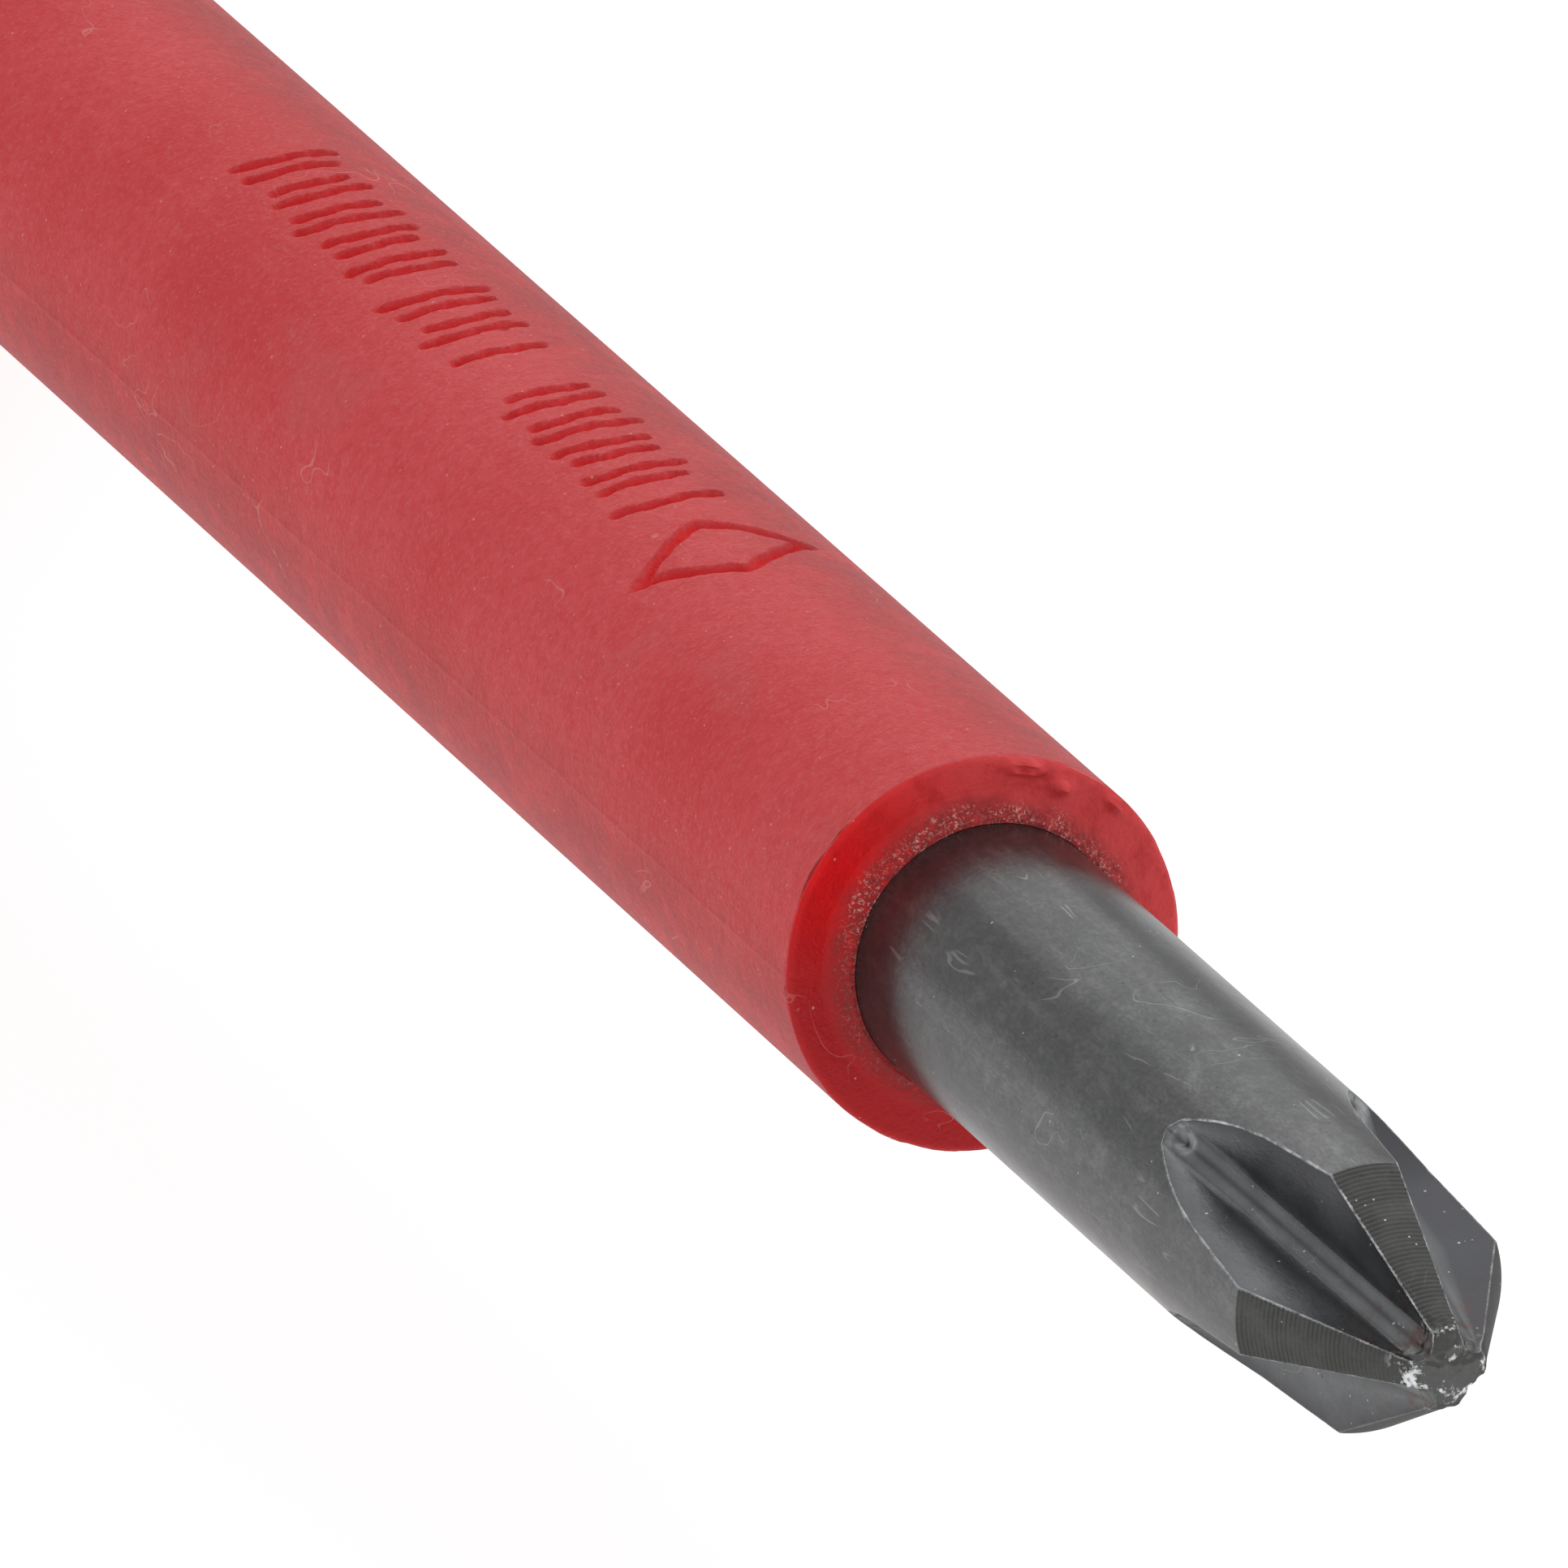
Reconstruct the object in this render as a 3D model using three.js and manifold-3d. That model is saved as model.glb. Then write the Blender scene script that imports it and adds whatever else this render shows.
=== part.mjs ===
// Insulated cross-head screwdriver, size 1 by 80 mm, as separate closed solids.
//
// Millimetres, +Z up. The pieces are modelled with the blunt end of the tip at the origin and the
// rest of the tool behind it, at negative X. The assembly is then moved so that the tool lies on
// a flat of its collar and a flat of its belly, with the origin under the middle of its length.
import * as THREE from "three";
import { mergeVertices } from "three/addons/utils/BufferGeometryUtils.js";
import Module from "manifold-3d";

const wasm = await Module();
wasm.setup();

// ---- Blade -------------------------------------------------------------------------------
const SHANK_RADIUS = 2.25;
const TIP_END_RADIUS = 0.25; // blunt spot in the middle of the tip
const WING_END_RADIUS = 0.635; // where the tip's cone meets its blunt end
const END_CONE_LENGTH = 0.2;
const CONE_HALF_ANGLE = THREE.MathUtils.degToRad(26.5);
const CONE_LENGTH = (SHANK_RADIUS - WING_END_RADIUS) / Math.tan(CONE_HALF_ANGLE);
const BLADE_REACH = 80; // tip to the handle's nose
const TANG_DEPTH = 60; // how far the blade runs into the handle
const TANG_CHAMFER = 0.6;

// Flutes: the four grooves between the wings, cut by a V-shaped form cutter.
const FLUTE_COUNT = 4;
const FLUTE_TURN = THREE.MathUtils.degToRad(2.2); // the tip stands a little off the tang's ears
const FLUTE_START_RADIUS = 0.45; // from the axis to the groove's root, at the end of the wings
const FLUTE_SLOPE = 0.165;
const FLUTE_STRAIGHT = 5.2; // beyond this the cutter climbs out on a curve
const FLUTE_CLIMB = 0.1;
const FLUTE_RUNOUT = 8.5; // where the cutter is clear of the shank
const FLUTE_ROOT_WIDTH = 0.48;
const FLUTE_ROOT_RISE = Math.tan(THREE.MathUtils.degToRad(21));
const FLANK_SPREAD = Math.tan(THREE.MathUtils.degToRad(46));
const CUTTER_HEIGHT = 2.6;
const CUTTER_STEPS = 12;

// Tang ears: the bar is coined flat at two places so that the handle can drive it.
const EAR_HALF_WIDTH = 3.4;
const EAR_HALF_THICKNESS = 1.0;
const EAR_LENGTH = 9;
const EAR_OFFSETS = [22, 42]; // from the nose to each ear's front end

// ---- Insulating sleeve on the blade ------------------------------------------------------
const SLEEVE_RADIUS = 3.32;
const BARE_LENGTH = 19.4; // bare steel between tip and sleeve
const SLEEVE_EMBED = 12; // sleeve inside the handle's nose
const SLEEVE_EDGE = 0.08;

// ---- Handle ------------------------------------------------------------------------------
const HANDLE_LENGTH = 105;
const HEX_APOTHEM = 13;
// Distance from the nose and radius at the stations of the turned outline. Between two stations
// the outline eases from one radius to the next and is level at both.
const OUTLINE = [
  [0, 5.8],
  [14, 14.2],
  [17.5, 14.2],
  [25.5, 8.9],
  [37, 8.9],
  [67, 14.7],
  [93, 12.4],
];
const OUTLINE_STEPS = 4; // straight pieces between two stations
const DOME_START = 93;
const DOME_END_RADIUS = 5.5;
const DOME_STEPS = 5;
const ROUND_SEGMENTS = 36;

const PAD_COUNT = 6;
const PAD_DEPTH = 1.6;
const PAD_START = 45;
const PAD_LENGTH = 42;
const PAD_WIDTH = 9;
const WAIST_START = 23.5;
const WAIST_END = 39;
const WAIST_DEPTH = 1.5;

const CORE_FRONT_RADIUS = 5;
const CORE_REAR_RADIUS = 8.5;
const CORE_START = SLEEVE_EMBED + 1;
const CORE_STEP = 43;
const CORE_END = 82.5;

const CAP_START = 89;
const SPIGOT_START = 83;
const SPIGOT_RADIUS = 8.5;
const HANG_HOLE_RADIUS = 3.5;
const HANG_HOLE_CENTRE = 97.5;
const DISC_RADIUS = 4.3;
const DISC_RECESS = 1.2;
const DISC_PROUD = 0.15;
const CROSS_LENGTH = 5;
const CROSS_WIDTH = 1.1;
const CROSS_DEPTH = 0.5;

const GAP = 0.2; // between neighbouring solids
const BORE_GAP = 0.1; // between two round pieces on the same axis
const BEYOND = 1; // how far a cutter passes the surface that it cuts

// ---- Solids and geometries ---------------------------------------------------------------
function toSolid(geometry) {
  const plain = geometry.clone();
  plain.deleteAttribute("normal");
  plain.deleteAttribute("uv");
  const merged = mergeVertices(plain, 1e-4);
  return new wasm.Manifold(
    new wasm.Mesh({
      numProp: 3,
      vertProperties: new Float32Array(merged.attributes.position.array),
      triVerts: new Uint32Array(merged.index.array),
    }),
  );
}

function toGeometry(solid) {
  const mesh = solid.getMesh();
  const geometry = new THREE.BufferGeometry();
  geometry.setAttribute("position", new THREE.BufferAttribute(mesh.vertProperties, 3));
  geometry.setIndex(new THREE.BufferAttribute(mesh.triVerts, 1));
  geometry.computeVertexNormals();
  return geometry;
}

// Turns an outline of [distance behind the tip, radius] pairs round the X axis.
function turned(outline) {
  const points = outline.map(([behind, radius]) => new THREE.Vector2(radius, behind));
  const geometry = new THREE.LatheGeometry(points, ROUND_SEGMENTS);
  return toSolid(geometry.rotateZ(Math.PI / 2));
}

function rod(front, rear, radius) {
  return turned([
    [front, 0],
    [front, radius],
    [rear, radius],
    [rear, 0],
  ]);
}

function block(front, rear, halfY, halfZ) {
  const geometry = new THREE.BoxGeometry(rear - front, 2 * halfY, 2 * halfZ);
  return toSolid(geometry.translate(-(front + rear) / 2, 0, 0));
}

function turnedAboutX(geometry, angle) {
  return geometry.clone().rotateX(angle);
}

// ---- Blade -------------------------------------------------------------------------------
// Radius of a flute's root line, a given distance behind the end of the wings.
function fluteRoot(behind) {
  const climbing = Math.max(0, behind - FLUTE_STRAIGHT);
  return FLUTE_START_RADIUS + FLUTE_SLOPE * behind + FLUTE_CLIMB * climbing ** 2;
}

// The cutter's section: a shallow V at the root, then two flanks that spread.
function cutterSection() {
  const half = FLUTE_ROOT_WIDTH / 2;
  const corner = half * FLUTE_ROOT_RISE;
  const reach = half + (CUTTER_HEIGHT - corner) * FLANK_SPREAD;
  const shape = new THREE.Shape();
  shape.moveTo(0, 0);
  shape.lineTo(half, -corner);
  shape.lineTo(reach, -CUTTER_HEIGHT);
  shape.lineTo(-reach, -CUTTER_HEIGHT);
  shape.lineTo(-half, -corner);
  shape.closePath();
  return shape;
}

// The path lies in the XZ plane and runs towards the tip, which keeps the section upright.
class FlutePath extends THREE.Curve {
  getPoint(t, target = new THREE.Vector3()) {
    const behind = THREE.MathUtils.lerp(FLUTE_RUNOUT, -BEYOND, t);
    return target.set(-END_CONE_LENGTH - behind, 0, fluteRoot(behind));
  }
}

function makeBlade() {
  const coneEnd = END_CONE_LENGTH + CONE_LENGTH;
  const rear = BLADE_REACH + TANG_DEPTH;
  let blade = turned([
    [0, 0],
    [0, TIP_END_RADIUS],
    [END_CONE_LENGTH, WING_END_RADIUS],
    [coneEnd, SHANK_RADIUS],
    [rear - TANG_CHAMFER, SHANK_RADIUS],
    [rear, SHANK_RADIUS - TANG_CHAMFER],
    [rear, 0],
  ]);
  const cutter = new THREE.ExtrudeGeometry(cutterSection(), {
    steps: CUTTER_STEPS,
    bevelEnabled: false,
    extrudePath: new FlutePath(),
  });
  for (let i = 0; i < FLUTE_COUNT; i += 1) {
    const angle = FLUTE_TURN + (Math.PI / FLUTE_COUNT) * (1 + 2 * i);
    blade = blade.subtract(toSolid(turnedAboutX(cutter, angle)));
  }
  for (const offset of EAR_OFFSETS) {
    const front = BLADE_REACH + offset;
    blade = blade.add(block(front, front + EAR_LENGTH, EAR_HALF_WIDTH, EAR_HALF_THICKNESS));
  }
  return blade;
}

// Room in the handle's core for the tang and its ears.
function tangRoom() {
  let room = rod(BLADE_REACH, BLADE_REACH + TANG_DEPTH + GAP, SHANK_RADIUS + GAP);
  for (const offset of EAR_OFFSETS) {
    const front = BLADE_REACH + offset - GAP;
    const rear = front + EAR_LENGTH + 2 * GAP;
    room = room.add(block(front, rear, EAR_HALF_WIDTH + GAP, EAR_HALF_THICKNESS + GAP));
  }
  return room;
}

function makeSleeve() {
  const rear = BLADE_REACH + SLEEVE_EMBED;
  const bore = SHANK_RADIUS + BORE_GAP;
  return turned([
    [BARE_LENGTH, bore],
    [BARE_LENGTH, SLEEVE_RADIUS - SLEEVE_EDGE],
    [BARE_LENGTH + SLEEVE_EDGE, SLEEVE_RADIUS],
    [rear, SLEEVE_RADIUS],
    [rear, bore],
    [BARE_LENGTH, bore],
  ]);
}

// ---- Handle ------------------------------------------------------------------------------
const ease = (t) => t * t * (3 - 2 * t);

// [distance from the nose, radius] of the handle's turned outline, with inset taken off it.
function handleOutline(inset) {
  const points = [[0, OUTLINE[0][1] - inset]];
  for (let i = 1; i < OUTLINE.length; i += 1) {
    const [from, fromRadius] = OUTLINE[i - 1];
    const [to, toRadius] = OUTLINE[i];
    const steps = fromRadius === toRadius ? 1 : OUTLINE_STEPS;
    for (let k = 1; k <= steps; k += 1) {
      const t = k / steps;
      const radius = fromRadius + (toRadius - fromRadius) * ease(t);
      points.push([from + (to - from) * t, radius - inset]);
    }
  }
  const domeRise = OUTLINE.at(-1)[1] - DOME_END_RADIUS;
  for (let k = 1; k <= DOME_STEPS; k += 1) {
    const angle = (Math.PI / 2) * (k / DOME_STEPS);
    const along = DOME_START + (HANDLE_LENGTH - DOME_START) * Math.sin(angle);
    points.push([along, DOME_END_RADIUS + domeRise * Math.cos(angle) - inset]);
  }
  return points;
}

function hexPrism(apothem) {
  const corner = apothem / Math.cos(Math.PI / 6);
  const shape = new THREE.Shape();
  for (let i = 0; i < 6; i += 1) {
    const angle = (Math.PI / 3) * i;
    shape[i ? "lineTo" : "moveTo"](corner * Math.cos(angle), corner * Math.sin(angle));
  }
  shape.closePath();
  const depth = HANDLE_LENGTH + 2 * BEYOND;
  const geometry = new THREE.ExtrudeGeometry(shape, { depth, bevelEnabled: false });
  // The prism's flats face up and down once its axis lies along X.
  geometry.rotateY(Math.PI / 2).rotateX(Math.PI / 2);
  return toSolid(geometry.translate(-BLADE_REACH - HANDLE_LENGTH - BEYOND, 0, 0));
}

// The handle's outer form, turned and then cut to a hexagon, with inset taken off all round.
function handleForm(inset) {
  const outline = handleOutline(inset).map(([along, radius]) => [BLADE_REACH + along, radius]);
  const closed = [[BLADE_REACH, 0], ...outline, [BLADE_REACH + HANDLE_LENGTH, 0]];
  return turned(closed).intersect(hexPrism(HEX_APOTHEM - inset));
}

// A slab with round ends that stands out of one flat, over the pad's outline grown by margin.
function padPrism(index, margin) {
  const radius = PAD_WIDTH / 2 + margin;
  const front = BLADE_REACH + PAD_START + PAD_WIDTH / 2;
  const rear = BLADE_REACH + PAD_START + PAD_LENGTH - PAD_WIDTH / 2;
  const shape = new THREE.Shape();
  shape.absarc(-front, 0, radius, -Math.PI / 2, Math.PI / 2, false);
  shape.absarc(-rear, 0, radius, Math.PI / 2, (3 * Math.PI) / 2, false);
  shape.closePath();
  const geometry = new THREE.ExtrudeGeometry(shape, {
    depth: HEX_APOTHEM,
    curveSegments: 8,
    bevelEnabled: false,
  });
  geometry.translate(0, 0, CORE_REAR_RADIUS);
  return toSolid(turnedAboutX(geometry, (2 * Math.PI * index) / PAD_COUNT));
}

function band(from, to) {
  return rod(BLADE_REACH + from, BLADE_REACH + to, 2 * HEX_APOTHEM);
}

function makeHandleParts() {
  const outer = handleForm(0);
  const padFloor = handleForm(PAD_DEPTH);
  const pocketFloor = handleForm(PAD_DEPTH + GAP);
  const waistFloor = handleForm(WAIST_DEPTH);
  const grooveFloor = handleForm(WAIST_DEPTH + GAP);
  const parts = { pads: [] };

  let body = outer.intersect(band(-BEYOND, CAP_START));
  for (let i = 0; i < PAD_COUNT; i += 1) {
    parts.pads.push(padPrism(i, 0).intersect(outer).subtract(padFloor));
    body = body.subtract(padPrism(i, GAP).subtract(pocketFloor));
  }
  body = body.subtract(band(WAIST_START, WAIST_END).subtract(grooveFloor));
  const noseBore = SLEEVE_RADIUS + BORE_GAP;
  body = body.subtract(rod(BLADE_REACH - BEYOND, BLADE_REACH + CORE_START, noseBore));
  const coreFront = BLADE_REACH + CORE_START - GAP;
  const coreStep = BLADE_REACH + CORE_STEP - GAP;
  const rear = BLADE_REACH + CAP_START + BEYOND;
  body = body.subtract(rod(coreFront, rear, CORE_FRONT_RADIUS + GAP));
  parts.body = body.subtract(rod(coreStep, rear, CORE_REAR_RADIUS + GAP));

  const waistBand = band(WAIST_START + GAP, WAIST_END - GAP);
  parts.waistGrip = outer.intersect(waistBand).subtract(waistFloor);
  parts.cap = makeCap(outer);
  return parts;
}

function makeCore() {
  const front = BLADE_REACH + CORE_START;
  const step = BLADE_REACH + CORE_STEP;
  const rear = BLADE_REACH + CORE_END;
  return turned([
    [front, 0],
    [front, CORE_FRONT_RADIUS],
    [step, CORE_FRONT_RADIUS],
    [step, CORE_REAR_RADIUS],
    [rear, CORE_REAR_RADIUS],
    [rear, 0],
  ]).subtract(tangRoom());
}

function makeCap(outer) {
  const end = BLADE_REACH + HANDLE_LENGTH;
  const capFront = CAP_START + GAP;
  const dome = outer.intersect(band(capFront, HANDLE_LENGTH + BEYOND));
  const spigot = rod(BLADE_REACH + SPIGOT_START, BLADE_REACH + capFront + BEYOND, SPIGOT_RADIUS);
  const recess = rod(end - DISC_RECESS, end + BEYOND, DISC_RADIUS + GAP);
  const hole = new THREE.CylinderGeometry(
    HANG_HOLE_RADIUS,
    HANG_HOLE_RADIUS,
    4 * HEX_APOTHEM,
    24,
  );
  hole.translate(-BLADE_REACH - HANG_HOLE_CENTRE, 0, 0);
  return dome.add(spigot).subtract(recess).subtract(toSolid(hole));
}

// The marker in the cap's end, sunk in the middle with a plain cross for a cross-head tip.
function makeDisc() {
  const end = BLADE_REACH + HANDLE_LENGTH;
  const face = end + DISC_PROUD;
  const disc = rod(end - DISC_RECESS + GAP, face, DISC_RADIUS);
  const bar = (halfY, halfZ) => block(face - CROSS_DEPTH, face + BEYOND, halfY, halfZ);
  const length = CROSS_LENGTH / 2;
  const width = CROSS_WIDTH / 2;
  return disc.subtract(bar(length, width)).subtract(bar(width, length));
}

// ---- Assembly ----------------------------------------------------------------------------
const steel = new THREE.MeshStandardMaterial({ color: 0x4a4a4d, roughness: 0.42, metalness: 0.9 });
const sleeveRed = new THREE.MeshStandardMaterial({ color: 0xbf2a2c, roughness: 0.6 });
const bodyRed = new THREE.MeshStandardMaterial({ color: 0xb3191c, roughness: 0.4 });
const softBlack = new THREE.MeshStandardMaterial({ color: 0x161616, roughness: 0.8 });
const coreGrey = new THREE.MeshStandardMaterial({ color: 0xb9b6ae, roughness: 0.5 });
const capBlack = new THREE.MeshStandardMaterial({ color: 0x1d1d1f, roughness: 0.45 });
const discWhite = new THREE.MeshStandardMaterial({ color: 0xd9d7d0, roughness: 0.5 });

const screwdriver = new THREE.Group();
screwdriver.position.set((BLADE_REACH + HANDLE_LENGTH + DISC_PROUD) / 2, 0, HEX_APOTHEM);

function addPiece(name, solid, material) {
  const mesh = new THREE.Mesh(toGeometry(solid), material);
  mesh.name = name;
  screwdriver.add(mesh);
}

const handle = makeHandleParts();
addPiece("blade", makeBlade(), steel);
addPiece("blade_sleeve", makeSleeve(), sleeveRed);
addPiece("handle_core", makeCore(), coreGrey);
addPiece("handle_body", handle.body, bodyRed);
addPiece("waist_grip", handle.waistGrip, softBlack);
handle.pads.forEach((pad, i) => addPiece(`grip_pad_${i + 1}`, pad, softBlack));
addPiece("end_cap", handle.cap, capBlack);
addPiece("marker_disc", makeDisc(), discWhite);

export default screwdriver;
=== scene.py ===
"""Insulated cross-head screwdriver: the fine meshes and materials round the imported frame.

Shapes are worked out in tool millimetres: how far behind the tip, and a radius and an angle
about the blade's axis, with angle 0 straight up and a quarter turn towards -Y.
"""

import math

import bmesh
import bpy
import numpy as np
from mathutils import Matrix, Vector, noise


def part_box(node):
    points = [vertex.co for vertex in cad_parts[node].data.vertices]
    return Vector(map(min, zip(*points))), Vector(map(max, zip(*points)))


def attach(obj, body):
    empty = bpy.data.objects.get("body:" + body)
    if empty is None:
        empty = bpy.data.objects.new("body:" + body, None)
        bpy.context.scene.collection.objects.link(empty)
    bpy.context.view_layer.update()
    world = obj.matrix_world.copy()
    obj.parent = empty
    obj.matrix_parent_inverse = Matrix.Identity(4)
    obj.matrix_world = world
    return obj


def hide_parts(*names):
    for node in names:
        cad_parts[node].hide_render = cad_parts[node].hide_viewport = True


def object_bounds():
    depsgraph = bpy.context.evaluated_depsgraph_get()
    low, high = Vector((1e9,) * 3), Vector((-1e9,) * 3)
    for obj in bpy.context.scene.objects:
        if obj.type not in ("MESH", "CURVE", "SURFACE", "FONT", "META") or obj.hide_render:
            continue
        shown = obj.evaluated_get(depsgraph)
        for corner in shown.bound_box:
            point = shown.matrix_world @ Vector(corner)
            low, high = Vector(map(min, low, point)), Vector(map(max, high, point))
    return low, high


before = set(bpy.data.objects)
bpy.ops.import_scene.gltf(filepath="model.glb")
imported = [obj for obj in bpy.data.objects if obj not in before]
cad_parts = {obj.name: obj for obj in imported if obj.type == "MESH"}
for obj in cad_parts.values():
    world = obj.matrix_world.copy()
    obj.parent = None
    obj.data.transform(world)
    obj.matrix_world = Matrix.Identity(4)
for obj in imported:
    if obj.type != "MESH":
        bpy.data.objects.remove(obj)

CAD_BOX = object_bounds()
scene = bpy.context.scene
MM = 0.001
QUARTER = math.pi / 2

# ---- Dimensions, in millimetres unless named otherwise ----
blade_low, blade_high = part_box("blade")
sleeve_low, sleeve_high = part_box("blade_sleeve")
body_low, body_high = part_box("handle_body")
grip_low, grip_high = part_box("waist_grip")
pad_low, pad_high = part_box("grip_pad_1")
cap_low, cap_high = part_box("end_cap")
disc_low, disc_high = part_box("marker_disc")

TIP_X = blade_high.x
AXIS_Z = (blade_low.z + blade_high.z) / 2


def behind(x):
    """How far the place x in the frame lies behind the tip."""
    return (TIP_X - x) / MM


SHANK_RADIUS = (blade_high.z - blade_low.z) / 2 / MM
BLADE_END = behind(blade_low.x)
END_CONE_LENGTH = 0.2
WING_END_RADIUS = 0.635
CONE_SLOPE = math.tan(math.radians(26.5))
CONE_END = END_CONE_LENGTH + (SHANK_RADIUS - WING_END_RADIUS) / CONE_SLOPE
FLUTES = 4
FLUTE_START_RADIUS = 0.45
FLUTE_SLOPE = 0.165
FLUTE_STRAIGHT = 5.2
FLUTE_CLIMB = 0.1
FLUTE_END = 7.754
FLUTE_TURN = math.radians(2.2)
RUN_OUT = 0.6
PIT_PLACE = 7.42
PIT_RADIUS = 0.17
PIT_DEPTH = 0.05
WORN_LEAST = 0.012
WORN_SPREAD = 0.022
# How bright each flute's two edges are worn, for the four flutes in turn.
EDGE_WEAR = ((1.0, 0.55), (0.35, 0.12), (0.12, 0.15), (0.3, 0.6))
# How much painted shade darkens the flank under each of those edges, as a factor. Above 1 the shade starts
# lower down.
FLANK_SHADE = ((0.88, 0.75), (1.0, 0.8), (1.0, 1.0), (4.0, 1.0))
ROOT_HALF_WIDTH = 0.24
ROOT_RISE = math.tan(math.radians(21))
FLANK_SPREAD = math.tan(math.radians(46))
RIDGE_PITCH = 0.082
RIDGE_HEIGHT = 0.005
EAR_STARTS = (102.0, 122.0)
EAR_LENGTH = 9.0
EAR_HALF_WIDTH = 3.4
EAR_HALF_THICKNESS = 1.0
EAR_RAMP = 0.5

SLEEVE_RADIUS = (sleeve_high.z - sleeve_low.z) / 2 / MM
SLEEVE_FRONT = behind(sleeve_high.x)
SLEEVE_END = behind(sleeve_low.x)
BORE_RADIUS = SHANK_RADIUS + 0.008
LIP_RADIUS = 2.74
RIM_SETBACK = 0.17
RIM_SLANT = 0.14
SLANT_ANGLE = math.radians(45)
SEAM_HEIGHT = 0.012
NICK_DEPTH = 0.09
MARK_ANGLE = math.radians(5)
MARK_DEPTH = 0.15
MARK_HALF_WIDTH = 0.13
MARK_HALF_LENGTH = 1.0
LOZENGE_CENTRE = 10.8
LOZENGE_HALF_LENGTH = 1.1
LOZENGE_HALF_ARC = 1.5
# Groups of debossed bars: the distance behind the sleeve's face of a group's first mark, then
# how many strokes each mark has.
BAR_GROUPS = ((13.1, (1, 2, 2, 2, 2)), (20.6, (1, 2, 2)), (25.0, (2, 2, 2, 2, 2)))
BAR_PITCH = 1.3
STROKE_PITCH = 0.54
WITNESS_ANGLE = math.radians(34)
WITNESS_PLACE = 9.5
WITNESS_STEP = 0.008

NOSE = behind(body_high.x)
HANDLE_END = behind(cap_low.x)
BODY_END = behind(body_low.x) - NOSE
HEX_APOTHEM = AXIS_Z / MM
HEX_EASE = 0.6
OUTLINE = ((0, 5.8), (14, 14.2), (17.5, 14.2), (25.5, 8.9), (37, 8.9), (67, 14.7), (93, 12.4))
DOME_START, DOME_START_RADIUS = OUTLINE[-1]
DOME_END_RADIUS = 5.5
GRIP_START = behind(grip_high.x) - NOSE
GRIP_END = behind(grip_low.x) - NOSE
GRIP_DEPTH = 1.5
PAD_START = behind(pad_high.x) - NOSE
PAD_END = behind(pad_low.x) - NOSE
PAD_RADIUS = (pad_high.y - pad_low.y) / 2 / MM
PAD_DEPTH = 1.6
CAP_START = behind(cap_high.x) - NOSE
SPIGOT_RADIUS = 8.5
CAP_SEAM = BODY_END + 0.2
HOLE_RADIUS = 3.5
HOLE_CENTRE = 97.5
DISC_RADIUS = (disc_high.z - disc_low.z) / 2 / MM
GAP = 0.2

# The shell's bore, from the nose: round the sleeve, then round the core, then open for the cap.
SLEEVE_BORE_RADIUS = 3.35
CORE_BORE_START = 12.8
CORE_BORE_RADIUS = 5.2
CAP_BORE_START = 42.8
CAP_BORE_RADIUS = 8.7

WELD = 1e-6  # metres: closer vertices are one
POINT_RADIUS = 1e-4  # a ring this small welds into a point
TINY = 1e-9  # keeps a division or an angle defined
rng = np.random.default_rng(11)


# ---- Mesh helpers ----
def placed(along, radius, angle):
    """Tool coordinates to points in the frame, in metres."""
    along, radius, angle = np.broadcast_arrays(along, radius, angle)
    x = TIP_X - along * MM
    y = -radius * np.sin(angle) * MM
    z = AXIS_Z + radius * np.cos(angle) * MM
    return np.stack([x, y, z], axis=-1)


def grid(points, wrap=True):
    """(vertices, quads) of a grid of points, rows by columns. wrap joins its last column to its first."""
    rows, columns = points.shape[:2]
    i = np.arange(rows - 1)[:, None] * columns
    j = np.arange(columns if wrap else columns - 1)[None, :]
    k = (j + 1) % columns
    quads = np.stack([i + j, i + k, i + columns + k, i + columns + j], axis=-1)
    return points.reshape(-1, 3), quads.reshape(-1, 4)


def joined(patches):
    """One (vertices, quads) from several."""
    vertices, quads, count = [], [], 0
    for patch_vertices, patch_quads in patches:
        vertices.append(patch_vertices)
        quads.append(patch_quads + count)
        count += len(patch_vertices)
    return np.concatenate(vertices), np.concatenate(quads)


def make_piece(name, surface, material, sharp_degrees, **attributes):
    """A welded mesh from (vertices, quads), with a float attribute for each named array."""
    vertices, quads = surface
    mesh = bpy.data.meshes.new(name)
    mesh.from_pydata(vertices.tolist(), [], quads.tolist())
    for attribute, values in attributes.items():
        layer = mesh.attributes.new(attribute, "FLOAT", "POINT")
        layer.data.foreach_set("value", np.asarray(values, np.float32).ravel())
    work = bmesh.new()
    work.from_mesh(mesh)
    bmesh.ops.remove_doubles(work, verts=work.verts, dist=WELD)
    bmesh.ops.dissolve_degenerate(work, dist=WELD, edges=work.edges)
    loose = [edge for edge in work.edges if not edge.link_faces]
    bmesh.ops.delete(work, geom=loose, context="EDGES")
    bmesh.ops.recalc_face_normals(work, faces=work.faces)
    work.to_mesh(mesh)
    work.free()
    mesh.shade_smooth()
    mesh.set_sharp_from_angle(angle=math.radians(sharp_degrees))
    mesh.materials.append(material)
    piece = bpy.data.objects.new(name, mesh)
    scene.collection.objects.link(piece)
    return piece


def stands_for(piece, slot, *nodes):
    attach(piece, "root")
    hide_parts(*nodes)


def steps(start, stop, spacing):
    """Evenly spaced values from start to stop, no further apart than spacing."""
    count = max(2, math.ceil(abs(stop - start) / spacing) + 1)
    return np.linspace(start, stop, count)


def merged(*runs, digits):
    """The values of several runs, in order and each once."""
    return np.unique(np.concatenate(runs).round(digits))


def smoothstep(value):
    value = np.clip(value, 0, 1)
    return value * value * (3 - 2 * value)


def signed(angle):
    """The same angle, from minus half a turn to half a turn."""
    return (angle + math.pi) % (2 * math.pi) - math.pi


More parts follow.
